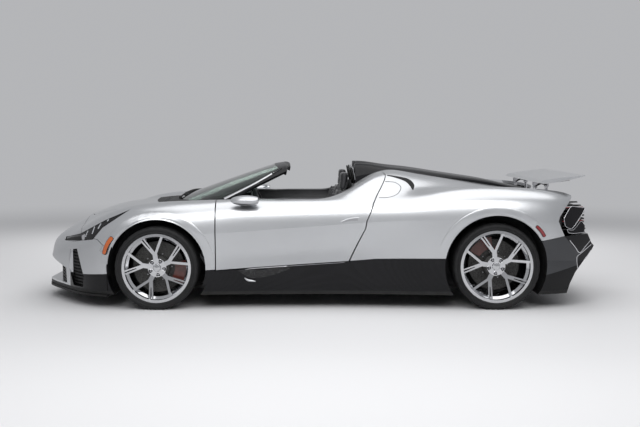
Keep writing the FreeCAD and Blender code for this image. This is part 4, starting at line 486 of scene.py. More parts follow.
class Form:
    """Points and faces of one piece, gathered before it is made."""

    def __init__(self, name):
        self.name, self.points, self.faces = name, [], []

    def add(self, points, faces):
        """Takes in points, and faces that count from the first of them."""
        first = len(self.points)
        self.points += [tuple(p) for p in points]
        self.faces += [[first + i for i in face] for face in faces]

    def loft(self, loops, ring=True, ends=True):
        """Skins a row of loops with equal counts of points."""
        count = len(loops[0])
        faces = [[i * count + j, i * count + (j + 1) % count, (i + 1) * count + (j + 1) % count, (i + 1) * count + j]
                 for i in range(len(loops) - 1) for j in range(count if ring else count - 1)]
        if ends:
            last = (len(loops) - 1) * count
            faces += [list(range(count))[::-1], list(range(last, last + count))]
        self.add([p for loop in loops for p in loop], faces)

    def plate(self, rows, back):
        """Skins rows of points and closes them behind with two more lines, moved back."""
        self.loft([row + [row[-1] + back, row[0] + back] for row in rows])

    def slab(self, rows, back):
        """Skins rows of points and their copies, moved back."""
        self.loft([row + [p + back for p in reversed(row)] for row in rows])

    def lathe(self, profile, centre, steps, shape=None):
        """Turns (across, radius) pairs about a line along Y through the centre."""
        loops = []
        for i in range(steps + 1):
            turn = tau * (i % steps) / steps
            loops.append([(centre[0] + r * cos(turn), centre[1] + u, centre[2] + r * sin(turn))
                          for u, r in (shape(i % steps, profile) if shape else profile)])
        self.loft(loops, ring=False, ends=False)

    def tube(self, points, radius, sides=8, ends=True):
        """A round bar along points; radius is a number or a function of the share of its length."""
        points = [Vector(p) for p in points]
        last = len(points) - 1
        loops = []
        side = None
        for i, p in enumerate(points):
            along = (points[min(i + 1, last)] - points[max(i - 1, 0)]).normalized()
            if side is None:
                side = along.orthogonal().normalized()
            side = (side - along * side.dot(along)).normalized()
            other = along.cross(side)
            r = radius(i / last) if callable(radius) else radius
            loops.append([p + (side * c + other * s) * r for c, s in circle(sides)])
        self.loft(loops, ends=ends)

    def ribbon(self, spots, section):
        """Sweeps a section over skin spots; section(share) gives (across, out) pairs."""
        loops = []
        last = len(spots) - 1
        for i, (p, out) in enumerate(spots):
            along = (spots[min(i + 1, last)][0] - spots[max(i - 1, 0)][0]).normalized()
            across = out.cross(along).normalized()
            loops.append([p + across * a + out * h for a, h in section(i / last)])
        self.loft(loops)

    def block(self, centre, size, turn=Matrix.Identity(3)):
        """A box about a centre, turned by a matrix."""
        half = Vector(size) / 2
        points = [Vector(centre) + turn @ Vector((half.x * i, half.y * j, half.z * k))
                  for i in (-1, 1) for j in (-1, 1) for k in (-1, 1)]
        self.add(points, [[0, 1, 3, 2], [4, 6, 7, 5], [0, 4, 5, 1], [2, 3, 7, 6], [0, 2, 6, 4], [1, 5, 7, 3]])

    def pin(self, centre, out, radius, height, sides=6, chamfer=0.25):
        """A short round or six-sided stud that stands along a direction."""
        out = Vector(out).normalized()
        side, other = across_from(out)
        self.loft([[Vector(centre) + out * height * share + (side * c + other * s) * radius * r
                    for c, s in circle(sides)]
                   for share, r in ((0.0, 1.0), (1.0 - chamfer, 1.0), (1.0, 1.0 - chamfer))])

    def done(self, surface, body="chassis", slot=None, replaces=(), bevel=0.0, crease=38.0, levels=0):
        """Makes the piece, gives it its finish and hangs it on its body."""
        mesh = bpy.data.meshes.new(self.name)
        mesh.from_pydata(self.points, [], self.faces)
        shape = bmesh.new()
        shape.from_mesh(mesh)
        bmesh.ops.remove_doubles(shape, verts=shape.verts, dist=1e-5)
        bmesh.ops.recalc_face_normals(shape, faces=shape.faces)
        shape.to_mesh(mesh)
        shape.free()
        mesh.shade_smooth()
        if not levels:
            mesh.set_sharp_from_angle(angle=radians(crease))
        mesh.materials.append(finish(surface))
        made = bpy.data.objects.new(self.name, mesh)
        bpy.context.scene.collection.objects.link(made)
        if bevel:
            edge = made.modifiers.new("edges", "BEVEL")
            edge.width, edge.segments, edge.limit_method, edge.harden_normals = bevel, 2, "ANGLE", True
        if levels:
            smooth = made.modifiers.new("smooth", "SUBSURF")
            smooth.levels = smooth.render_levels = levels
        slot = slot or USUAL_SLOTS.get(surface, surface)
        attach(made, body)
        if replaces:
            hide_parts(*replaces)
        return made


class Skin:
    """The outer surface of one or more nodes, for placing trim on it."""

    def __init__(self, *names):
        points, faces = [], []
        for name in names:
            first = len(points)
            mesh = NODES[name].data
            points += [v.co.copy() for v in mesh.vertices]
            faces += [[first + i for i in p.vertices] for p in mesh.polygons]
        self.tree = BVHTree.FromPolygons(points, faces)

    def cast(self, origin, direction):
        """The first spot on a ray and the way out of the skin there; the spot is None where nothing is hit."""
        spot, out, _, _ = self.tree.ray_cast(Vector(origin), Vector(direction))
        return spot, -out if spot is not None and out.dot(Vector(direction)) > 0.0 else out

    def hit(self, origin, direction):
        """The first spot on a ray that has to find the skin, and the way out of it."""
        spot, out = self.cast(origin, direction)
        if spot is None:
            raise RuntimeError("no skin at %s" % (tuple(origin),))
        return spot, out

    def side(self, x, z, hand):
        """The spot seen from one side."""
        return self.hit((x, hand * 2.0, z), (0.0, -hand, 0.0))

    def side_line(self, points, count, hand):
        """Spots along a smooth line seen from one side."""
        return [self.side(p.x, p.z, hand) for p in smooth_path(points, count)]

    def found(self, places, hand, least=0.0):
        """Spots that rays from one side find at (x, z) places, farther out than least."""
        spots = [self.cast((x, hand * 2.0, z), (0.0, -hand, 0.0)) for x, z in places]
        return [(spot, out) for spot, out in spots if spot is not None and abs(spot.y) > least]

    def above(self, x, y):
        """The spot seen from above."""
        return self.hit((x, y, 2.0), (0.0, 0.0, -1.0))

    def near(self, point):
        """The spot nearest to a point, and the way out, which is the side that faces away from the middle."""
        spot, out, _, _ = self.tree.find_nearest(point)
        return spot, out if out.dot(Vector((0.0, point.y, 0.3))) > 0.0 else -out


def smooth_path(points, count, hand=1):
    """Points spread evenly along a smooth curve through (x, z) pairs or (x, y, z) points of one side."""
    points = [Vector((p[0], 0.0, p[1]) if len(p) == 2 else (p[0], p[1] * hand, p[2])) for p in points]
    rows = []
    last = len(points) - 1
    for i in range(count):
        t = i / (count - 1) * last
        k = min(int(t), last - 1)
        f = t - k
        a, b, c, d = points[max(k - 1, 0)], points[k], points[k + 1], points[min(k + 2, last)]
        rows.append(0.5 * ((2 * b) + (c - a) * f + (2 * a - 5 * b + 4 * c - d) * f * f
                           + (3 * b - a - 3 * c + d) * f ** 3))
    return rows


def frames(path):
    """Each point of a path with the share of its length and its direction."""
    last = len(path) - 1
    return [(p, i / last, (path[min(i + 1, last)] - path[max(i - 1, 0)]).normalized()) for i, p in enumerate(path)]


def laid(form, find, upper, lower, lift=LIFT):
    """A thin skin-tight patch between two lines of points; find gives the spot of a point on the skin."""
    rows = []
    for a, b in zip(upper, lower):
        row = [spot + out * lift for spot, out in (find(a.lerp(b, k / 4)) for k in range(5))]
        rows.append(row + [spot - out * SINK for spot, out in (find(b), find(a))])
    form.loft(rows)


def strip(half, points):
    """A ribbon's section of (across, out) pairs; across is a share of half its width, a number or a function."""
    return lambda share: [(a * (half(share) if callable(half) else half), h) for a, h in points]


def flat(rise, sink=SINK):
    """Section of a thin flat line on the skin."""
    return (-1, -sink), (-1, rise), (1, rise), (1, -sink)


def middle(node):
    """The middle of a node's box."""
    low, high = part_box(node)
    return [(a + b) / 2 for a, b in zip(low, high)]


def smoothed(values, reach):
    """Each value's mean with its neighbours."""
    rows = [values[max(0, i - reach):i + reach + 1] for i in range(len(values))]
    return [sum(row) / len(row) for row in rows]


# Wheels

WHEEL_TURN = {"front": 98.0, "rear": 85.0}
BOLT_CIRCLE, BELL_CIRCLE = 0.056, 0.108
HOLE_CIRCLES = (0.138, 0.152, 0.166, 0.180, 0.193)
SHIELD = ((0.016, -0.011), (0.016, 0.011), (0.006, 0.0155), (-0.010, 0.0095), (-0.017, 0.0), (-0.010, -0.0095),
          (0.006, -0.0155))
CAP = ((-0.004, 1.0), (0.002, 1.0), (0.0035, 0.94), (0.0035, 0.86), (0.002, 0.82), (0.0028, 0.6), (0.0042, 0.25))
GROOVES = (-0.60, -0.22, 0.22, 0.60)
# A tyre's flank from the rim to the shoulder: share of half its width, share of its wall's height, and more height.
FLANK = (
    (0.80, 0, -0.004), (0.88, 0, 0.001), (0.93, 0, 0.004), (0.955, 0, 0.010), (0.962, 0, 0.014), (0.950, 0, 0.018),
    (0.962, 0.42, 0), (0.985, 0.47, 0), (0.988, 0.50, 0), (0.978, 0.53, 0), (0.985, 0.64, 0), (0.978, 0.70, 0),
    (0.972, 0.725, 0), (0.976, 0.75, 0), (0.955, 0.84, 0), (0.92, 0.93, 0), (0.87, 0.975, 0))


def build_tyre(place):
    """One tyre with rim guard, sidewall rings, round grooves and shoulder slots."""
    w = bpy.context.scene.roadster_wheels
    low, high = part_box(f"tyre_{place}")
    wheel_low, wheel_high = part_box(f"wheel_{place}")
    rim = (wheel_high.z - wheel_low.z) / 2
    top, half = (high.z - low.z) / 2 - 0.0005, (high.y - low.y) / 2 - 0.0005
    wall = top - rim
    groove = w.groove_width / 2
    flank = [(u, rim + wall * share + more) for u, share, more in FLANK]
    tread = [(u * half + a * groove, d) for u in GROOVES
             for a, d in ((-1, 0.0), (-0.7, w.groove_depth), (0.7, w.groove_depth), (1, 0.0))]
    profile = [(-u * half, r) for u, r in flank]
    profile += [(u, top - d - 0.005 * (u / half) ** 2) for u, d in tread]
    profile += [(u * half, r) for u, r in reversed(flank)]

    def shape(step, row):
        if step % 6:
            return row
        return [(u, r - w.slot_depth if abs(u) > half * 0.66 and r > rim + wall * 0.8 else r) for u, r in row]

    form = Form(f"tyre_dressed_{place}")
    form.lathe(profile, middle(f"tyre_{place}"), w.tread_steps, shape)
    form.done("rubber", f"wheel_{place}", "tyre_rubber", replaces=(f"tyre_{place}",), crease=30.0)


def build_wheel_trim(place, axle, hand):
    """Blank cap and five lug bolts in shield-shaped pockets on one wheel; each pocket is a flat black shield, painted
    shade of its hollow.
    """
    r = bpy.context.scene.roadster_wheels.cap_radius
    body = f"wheel_{place}"
    skin = Skin(body)
    x, _, z = middle(f"tyre_{place}")
    out = Vector((0, hand, 0))
    cap = Form(f"cap_{place}")
    cap.lathe([(hand * u, r * share) for u, share in CAP] + [(hand * 0.0044, 0.001)],
              (x, skin.side(x + 0.004, z, hand)[0].y, z), 48)
    cap.done("chrome", body)
    bolts, pockets, rims = (Form(f"{name}_{place}") for name in ("lug_bolts", "lug_pockets", "lug_pocket_rims"))
    for k in range(5):
        turn = radians(WHEEL_TURN[axle] + 36.0 + 72.0 * k)
        away, along = Vector((cos(turn), 0, sin(turn))), Vector((-sin(turn), 0, cos(turn)))
        px, pz = x + BOLT_CIRCLE * cos(turn), z + BOLT_CIRCLE * sin(turn)
        spot = Vector((px, skin.side(px, pz, hand)[0].y, pz))
        bolts.pin(spot - out * 0.002, out, 0.0085, 0.008)
        bolts.pin(spot + out * 0.005, out, 0.005, 0.004, 12)
        shield = [spot + away * a + along * b for a, b in SHIELD]
        shield = [Vector((q.x, skin.side(q.x, q.z, hand)[0].y, q.z)) for q in shield]
        count = len(SHIELD)
        # Painted shade: a flat black shield on the wheel face stands for the hollow of each pocket.
        pockets.add([q + out * LIFT for q in shield] + [q - out * LIFT * 2 for q in shield],
                    [list(range(count)), list(range(2 * count - 1, count - 1, -1))])
        rims.tube([q + out * LIFT for q in shield + shield[:2]], 0.0022, ends=False)
    bolts.done("satin_metal", body, "chrome_wheel")
    pockets.done("satin_black", body, "chrome_wheel")
    rims.done("chrome", body)


def build_brake(place, hand):
    """Dark studs for the drilled holes, their dark painted shade, and bell bolts on one brake disc."""
    w = bpy.context.scene.roadster_wheels
    skin = Skin(f"disc_{place}")
    x, _, z = middle(f"tyre_{place}")
    out = Vector((0, hand, 0))

    def stud(form, turn, away, *size):
        spot = skin.side(x + away * cos(turn), z + away * sin(turn), hand)[0]
        form.pin(spot - out * 0.001, out, *size)

    holes, studs = Form(f"disc_holes_{place}"), Form(f"bell_bolts_{place}")
    # Painted shade: each drilled hole is a short dark stud standing proud of the disc, not a hole.
    for row, away in enumerate(HOLE_CIRCLES):
        for k in range(24):
            stud(holes, tau * (k + row * 0.28) / 24, away, w.hole_radius, 0.0013, 10, 0.1)
    for k in range(10):
        stud(studs, tau * k / 10, BELL_CIRCLE, 0.006, 0.006)
    holes.done("satin_black", f"wheel_{place}", "brake_disc")
    studs.done("satin_metal", f"wheel_{place}", "brake_disc")


# Body trim: lines of (x, z) pairs as seen from the side, or of (x, y, z) points of the right side

FUEL_FLAP = ((0.575, 1.014), (0.614, 1.012), (0.656, 1.006), (0.690, 0.987), (0.703, 0.962), (0.682, 0.928),
             (0.659, 0.912), (0.627, 0.899), (0.575, 0.890), (0.520, 0.890))
# Upper and lower edges of the flat black patch that paints the shade of the slot behind the door.
QUARTER_SLOT_SHADE = (
    ((0.552, 1.069), (0.629, 1.061), (0.709, 1.048), (0.767, 1.033), (0.803, 1.009), (0.818, 0.978), (0.802, 0.944)),
    ((0.556, 1.065), (0.628, 1.052), (0.700, 1.031), (0.748, 1.010), (0.777, 0.982), (0.790, 0.960), (0.799, 0.945)))
HANDLE_RECESS = ((0.222, 0.697), (0.262, 0.710), (0.305, 0.719), (0.348, 0.722))
HANDLE_BLADE = ((0.214, 0.702), (0.262, 0.721), (0.310, 0.731), (0.356, 0.733))
SILL_FIN = ((-0.560, 0.252), (-0.535, 0.232), (-0.505, 0.226), (-0.470, 0.222))
SILL_INTAKE = (((-0.610, 0.310), (-0.50, 0.325), (-0.36, 0.334), (-0.20, 0.336)),
               ((-0.600, 0.300), (-0.51, 0.252), (-0.37, 0.262), (-0.20, 0.318)))
SILL_LINE = ((-0.552, 0.96, 0.316), (-0.484, 0.96, 0.328), (-0.323, 0.96, 0.345), (-0.164, 0.96, 0.358),
             (0.074, 0.96, 0.371), (0.241, 0.96, 0.374))
PILLAR = ((-0.735, 0.758, 0.876), (-0.689, 0.741, 0.897), (-0.601, 0.708, 0.940), (-0.513, 0.674, 0.983),
          (-0.425, 0.634, 1.031), (-0.336, 0.591, 1.081), (-0.275, 0.560, 1.110))
MARKERS = (
    ("amber", ((-1.605, 0.580), (-1.637, 0.540), (-1.661, 0.494), (-1.679, 0.443)), 0.0165,
     ("front_wings", "nose", "marker_lamps_amber")),
    ("red", ((1.760, 0.672), (1.789, 0.645), (1.812, 0.617), (1.829, 0.588)), 0.0115,
     ("rear_quarters", "marker_lamps_red")))
# Each arch lip: its inner radius, where its arc starts and stops in degrees, and the nodes it lies on.
ARCH_LIPS = {
    "front": (0.397, 2.0, 176.0, ("front_wings", "nose", "marker_lamps_amber")),
    "rear": (0.419, 24.0, 168.0, ("rear_quarters", "marker_lamps_red"))}
LIP_SECTION = ((-1.0, -0.6), (-0.98, 0.05), (-0.9, 0.25), (-0.5, 0.5), (0.3, 0.8), (0.8, 1.0), (0.95, 0.85),
               (1.0, 0.0), (1.0, -0.6))
WIPERS = (((-1.145, -0.30), (-1.045, 0.30)), ((-1.150, 0.14), (-1.050, 0.56)))
BAND_HALF = 0.515
SCOOP_MOUTH = ((0.258, 0.972), (0.262, 1.008), (0.283, 1.075), (0.325, 1.112), (0.377, 1.122), (0.427, 1.112),
               (0.456, 1.070), (0.462, 1.010), (0.442, 0.972))
SCOOP_MIDDLE = (0.36, 1.045)
MIRROR_HALF = (0.062, 0.024)


def build_arch_lips(hand, side):
    """A raised lip round each arch that fades out at its feet."""
    t = bpy.context.scene.roadster_trim
    half = t.lip_width / 2

    def section(share):
        fade = min(1.0, share * 5.0, (1.0 - share) * 5.0)
        fade = fade * fade * (3.0 - 2.0 * fade)
        return [(hand * a * half, h * t.lip_rise * (fade if h > 0.0 else 1.0)) for a, h in LIP_SECTION]

    for axle, (radius, start, stop, names) in ARCH_LIPS.items():
        x, _, z = middle(f"tyre_{axle}_{side}")
        turns = [radians(start + (stop - start) * i / 72) for i in range(73)]
        places = [(x + (radius + half) * cos(turn), z + (radius + half) * sin(turn)) for turn in turns]
        form = Form(f"arch_lip_{axle}_{side}")
        form.ribbon(Skin(*names).found(places, hand, 0.9), section)
        form.done("silver_paint", crease=25.0)


def build_flank_lines(hand, side):
    """Fuel flap line, and a flat black patch for the slot behind the door, whose dark is painted shade."""
    t = bpy.context.scene.roadster_trim
    skin = Skin("rear_quarters")
    if side == "left":
        form = Form("fuel_flap_line")
        form.ribbon(skin.side_line(FUEL_FLAP, 40, hand), strip(t.seam_width * 0.35, flat(t.seam_rise)))
        form.done("satin_black")
    form = Form(f"quarter_slot_{side}")
    # Painted shade: a black patch laid flush on the paint where the slot behind the door is, with no hollow cut.
    laid(form, lambda p: skin.side(p.x, p.z, hand), *(smooth_path(line, 30) for line in QUARTER_SLOT_SHADE), lift=0.0012)
    form.done("satin_black")


def build_handles(hand, side):
    """A flush door handle with its finger recess."""
    body = f"door_{side}"
    skin = Skin(body)
    recess, blade = Form(f"handle_recess_{side}"), Form(f"handle_blade_{side}")
    recess.ribbon(skin.side_line(HANDLE_RECESS, 16, hand), strip(lambda s: 0.0105 * (0.25 + 0.75 * s), flat(LIFT)))
    recess.done("satin_metal", body, "silver_paint")
    blade.ribbon(skin.side_line(HANDLE_BLADE, 16, hand),
                 strip(0.001, ((-4, -0.001), (-3, 0.003), (0, 0.004), (3, 0.003), (4, -0.001))))
    blade.done("silver_paint", body)


def build_sill_fins(hand, side):
    """The bright fin ahead of the sill's intake and the dark mesh of the intake."""
    skin = Skin("side_sills")
    fin, intake = Form(f"sill_fin_{side}"), Form(f"sill_intake_{side}")
    fin.ribbon(skin.side_line(SILL_FIN, 18, hand),
               strip(lambda s: (0.15 + sin(pi * min(1.0, s * 0.9 + 0.05))) * 0.010,
                     ((-1, -0.002), (-0.8, 0.006), (0, 0.010), (0.8, 0.006), (1, -0.002))))
    fin.done("silver_paint", levels=1)
    rows = []
    for a, b in zip(*(smooth_path(line, 20) for line in SILL_INTAKE)):
        across = [a.lerp(b, k / 4) for k in range(5)]
        rows.append([spot + out * 0.001 for spot, out in (skin.side(p.x, p.z, hand) for p in across)])
    intake.plate(rows, Vector((0, -hand * 0.004, 0)))
    intake.done("mesh_screen")


def build_markers(hand, side):
    """Long side markers that stand on the arch lips."""
    for colour, path, half, names in MARKERS:
        skin = Skin(*names)
        row = smooth_path(path, 24)
        spots = []
        for p in row:
            spots += skin.found([(p.x, p.z)], hand, 0.85) or [skin.near(Vector((p.x, hand * 1.1, p.z)))]
        out = sum((n for _, n in spots), Vector()).normalized()
        reach = [max(abs(q.y) for q, _ in spots[max(0, i - 5):i + 6]) for i in range(24)]
        spots = [(Vector((p.x, hand * r, p.z)), out) for p, r in zip(row, smoothed(reach, 4))]
        for label, surface, grow, rise in (("lens", f"{colour}_lens", 0.0, 0.0095),
                                           ("bezel", "satin_black", 0.0022, 0.0082)):
            ends = [spots[0][0] - (spots[1][0] - spots[0][0]).normalized() * grow,
                    spots[-1][0] + (spots[-1][0] - spots[-2][0]).normalized() * grow]
            form = Form(f"marker_{colour}_{label}_{side}")
            form.ribbon([(ends[0], out)] * bool(grow) + spots + [(ends[1], out)] * bool(grow),
                        strip(lambda s: (half + grow) * max(0.05, 1.0 - abs(2.0 * s - 1.0) ** 12) ** 0.5,
                              [(a, h * rise) for a, h in ((-1, -0.3), (-1, 0.8), (-0.86, 1.0), (0.86, 1.0), (1, 0.8),
                                                          (1, -0.3))]))
            form.done(surface)


def build_nose_ducts(hand, side):
    """Fine dark mesh inside the corner duct."""
    mesh = Form(f"duct_mesh_{side}")
    mesh.slab([[Vector((-2.100 + 0.018 * i, hand * (0.500 + 1.05 * 0.018 * i), 0.150 + 0.300 * k / 8))
                for k in range(9)] for i in range(13)], Vector((0.003, -hand * 0.003, 0)))
    mesh.done("mesh_screen")


def build_bright_lines(hand, side):
    """The silver strip up the windscreen pillar over a painted shadow, and the thin bright line on the sill's upper
    edge.
    """
    skin = Skin("windscreen_frame", "windscreen")
    spots = [skin.near(p) for p in smooth_path(PILLAR, 30, hand)]
    shadow, silver, line = (Form(f"{name}_{side}") for name in ("pillar_line", "pillar_strip", "sill_line"))
    # Painted shadow: a flat black ribbon, wider than the silver strip, that darkens the paint along both its edges.
    shadow.ribbon(spots, strip(lambda s: 0.022 - 0.010 * s, flat(LIFT)))
    shadow.done("satin_black")
    silver.ribbon(spots, strip(lambda s: 0.014 - 0.008 * s, ((-1, -0.002), (-1, 0.0006), (-0.6, 0.002), (0.6, 0.002),
                                                            (1, 0.0006), (1, -0.002))))
    silver.done("silver_paint")
    skin = Skin("side_sills")
    line.ribbon([skin.near(p) for p in smooth_path(SILL_LINE, 40, hand)],
                strip(lambda s: sin(pi * (0.06 + 0.88 * s)) ** 0.5 * 0.0035,
                      ((-1, -0.002), (-0.8, 0.0016), (0.8, 0.0016), (1, -0.002))))
    line.done("bright_trim")


def build_mirrors(hand, side):
    """The glass of one door mirror."""
    low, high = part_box(f"mirror_{side}")
    y, z = (low.y + high.y) / 2, low.z + (high.z - low.z) * 0.56
    skin = Skin(f"mirror_{side}")
    glass = Form(f"mirror_glass_{side}")
    rows = []
    for i in range(9):
        row = []
        for c, s in circle(24):
            py, pz = (p + half * i / 8 * squared(a, 0.75) for p, half, a in zip((y, z), MIRROR_HALF, (c, s)))
            spot, _ = skin.cast((high.x + 0.2, py, pz), (-1, 0, 0))
            x = high.x - 0.02 if spot is None else spot.x
            row.append(Vector((min(x + 0.0012, high.x), py, pz)))
        rows.append(row)
    glass.loft(rows, ends=False)
    glass.done("mirror_silver", f"door_{side}")


def build_wipers():
    """Two wiper arms with blades that rest along the foot of the screen."""
    skin = Skin("windscreen", "cowl", "bonnet", "front_wings", "windscreen_frame", "structure", "front_frame")
    for index, (foot, tip) in enumerate(WIPERS):
        arm, blade = Form(f"wiper_arm_{index + 1}"), Form(f"wiper_blade_{index + 1}")

        def spot_at(share, ahead=0.0):
            return skin.above(*(a + (b - a) * share + more for a, b, more in zip(foot, tip, (ahead, 0.0))))

        spots = [spot_at(i / 19) for i in range(20)]
        path = [spot + out * (0.012 + 0.004 * sin(pi * i / 19)) for i, (spot, out) in enumerate(spots)]
        arm.tube(path, lambda s: 0.0075 - 0.0035 * s)
        arm.pin(path[0] - Vector((0, 0, 0.014)), (0, 0, 1), 0.014, 0.022, 16)
        arm.done("satin_black")
        blade.ribbon([spot_at(0.12 + 0.95 * i / 23, 0.012) for i in range(24)],
                     strip(0.001, ((-1, 0.0005), (-6, 0.007), (-4, 0.012), (4, 0.012), (6, 0.007), (1, 0.0005))))
        blade.done("rubber")


def build_bonnet_band():
    """The dark band along the rear of the bonnet, ahead of the wipers."""
    skin = Skin("bonnet")
    band = Form("bonnet_rear_band")
    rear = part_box("bonnet")[1].x - 0.0008
    rows = []
    for i in range(49):
        y = BAND_HALF * (i / 24 - 1)
        front = -1.365 + 0.09 * abs(i / 24 - 1) ** 3
        spots = [skin.above(front + (rear - front) * k / 6, y) for k in range(7)]
        rows.append([spot + out * 0.0012 for spot, out in spots])
    band.plate(rows, Vector((0, 0, -0.003)))
    band.done("satin_black", "bonnet", "silver_paint")


def build_scoop_frames(hand, side):
    """Three nested frames that lean forward in the mouth of one scoop."""
    y0, z0 = SCOOP_MIDDLE
    for k, surface in enumerate(("bright_trim", "satin_black", "satin_black")):
        size = 0.95 - 0.07 * k
        path = [(y0 + (p.x - y0) * size, z0 + (p.z - z0) * size) for p in smooth_path(SCOOP_MOUTH, 60)]
        bar = Form(f"scoop_frame_{side}_{k + 1}")
        bar.tube([(0.352 - 0.016 * k - 0.030 * (z - 0.97) / 0.15, hand * y, z) for y, z in path],
                 0.0065 if k else 0.005)
        bar.done(surface)


# Lamps

LAMP_BARS = (((-1.640, 0.728), (-1.660, 0.702)), ((-1.712, 0.690), (-1.738, 0.640)),
             ((-1.772, 0.655), (-1.790, 0.598)), ((-1.836, 0.618), (-1.856, 0.568)))
LAMP_SLOT = (((-2.108, 0.480, 0.515), (-2.028, 0.591, 0.541), (-1.911, 0.756, 0.566)),
             ((-2.104, 0.486, 0.512), (-1.991, 0.673, 0.515), (-1.895, 0.792, 0.536)))
LAMP_NOTCH = (((-1.898, 0.775, 0.574), (-1.878, 0.800, 0.588), (-1.862, 0.815, 0.590)),
              ((-1.890, 0.792, 0.545), (-1.876, 0.806, 0.540), (-1.864, 0.818, 0.548)))


def build_headlamps(hand, side):
    """Stacked bright bars on the smoked cover, the slot ahead of it and the bright notch at its foot."""
    skin = Skin("headlamps")
    bars, slot, notch = (Form(f"{name}_{side}") for name in ("lamp_bars", "lamp_slot", "lamp_notch"))
    for top, foot in LAMP_BARS:
        spots = skin.found([[a + (b - a) * i / 7 for a, b in zip(top, foot)] for i in range(8)], hand)
        bars.ribbon(spots, strip(0.006, ((-1, -0.003), (-1, 0.0008), (-1 / 3, 0.0022), (1, 0.0008), (1, -0.003))))
    bars.done("clear_bar")
    around = Skin("nose", "front_wings", "headlamps")
    laid(slot, around.near, *(smooth_path(line, 24, hand) for line in LAMP_SLOT))
    slot.done("satin_black")
    laid(notch, around.near, *(smooth_path(line, 8, hand) for line in LAMP_NOTCH), lift=0.002)
    notch.done("bright_trim")


# Cabin

SEAT_BASE = ((-0.385, 0.345), (-0.30, 0.352), (-0.18, 0.335), (-0.06, 0.312), (0.015, 0.305))
SEAT_BACK = ((0.060, 0.350), (0.098, 0.45), (0.130, 0.60), (0.165, 0.75), (0.200, 0.88), (0.215, 0.925))
HEAD_PAD = ((0.238, 0.935), (0.246, 0.98), (0.250, 1.03), (0.252, 1.076))
SEAT_SHELL = ((-0.405, 0.25), (-0.30, 0.235), (-0.10, 0.215), (0.05, 0.225), (0.135, 0.31), (0.175, 0.45),
              (0.205, 0.62), (0.240, 0.80), (0.268, 0.96), (0.283, 1.06))
SEAT_BELT = ((0.258, 0.90), (0.215, 0.915), (0.150, 0.80), (0.112, 0.66), (0.080, 0.52), (0.045, 0.42),
             (-0.03, 0.372))
RAIL_Y, BOLSTER_Y, PIPING_Y, BUCKLE_Y = 0.16, 0.195, 0.1555, 0.172
CARD_FOOT = 0.345
DRIVER_Y = -0.385
VENTS_Y = (-0.64, -0.12, 0.12, 0.64)
DIALS = ((-0.098, 0.043), (0.0, 0.052), (0.098, 0.043))
MAT_ENDS, MAT_EDGES = (-0.93, -0.44), (0.165, 0.655)
WHEEL_LEAN = radians(22.0)
PEDALS = ((-0.285, (0.012, 0.05, 0.15)), (-0.365, (0.012, 0.075, 0.07)), (-0.50, (0.012, 0.07, 0.16)))


def pad(name, path, half_width, top, under, channels=(), power=0.55, rows=64, sides=40, y=0.0):
    """A closed crowned cushion along a side-view path, with sewn channels across it."""
    c = bpy.context.scene.roadster_cabin
    loops = []
    for centre, s, along in frames(smooth_path(path, rows)):
        out = Vector((along.z, 0, -along.x))
        if out.z < 0 and abs(out.z) > abs(out.x):
            out = -out
        if abs(out.x) >= abs(out.z) and out.x > 0:
            out = -out
        end = max(0.0, 1.0 - abs(2.0 * s - 1.0) ** 7) ** 0.5
        dip = sum(exp(-((s - k) / 0.012) ** 2) for k in channels)
        width = (half_width(s) if callable(half_width) else half_width) * (0.90 + 0.10 * end)
        loop = []
        for a, b in circle(sides):
            across = squared(a, power) * width
            rise = squared(b, power + 0.25) * (top if b > 0 else under) * (0.12 + 0.88 * end)
            if b > 0:
                rise -= dip * c.channel_depth * (1.0 - abs(across / width) ** 4)
            loop.append(centre + out * rise + Vector((0, y + across, 0)))
        loops.append(loop)
    form = Form(name)
    form.loft(loops)
    made = form.done("leather", levels=1)


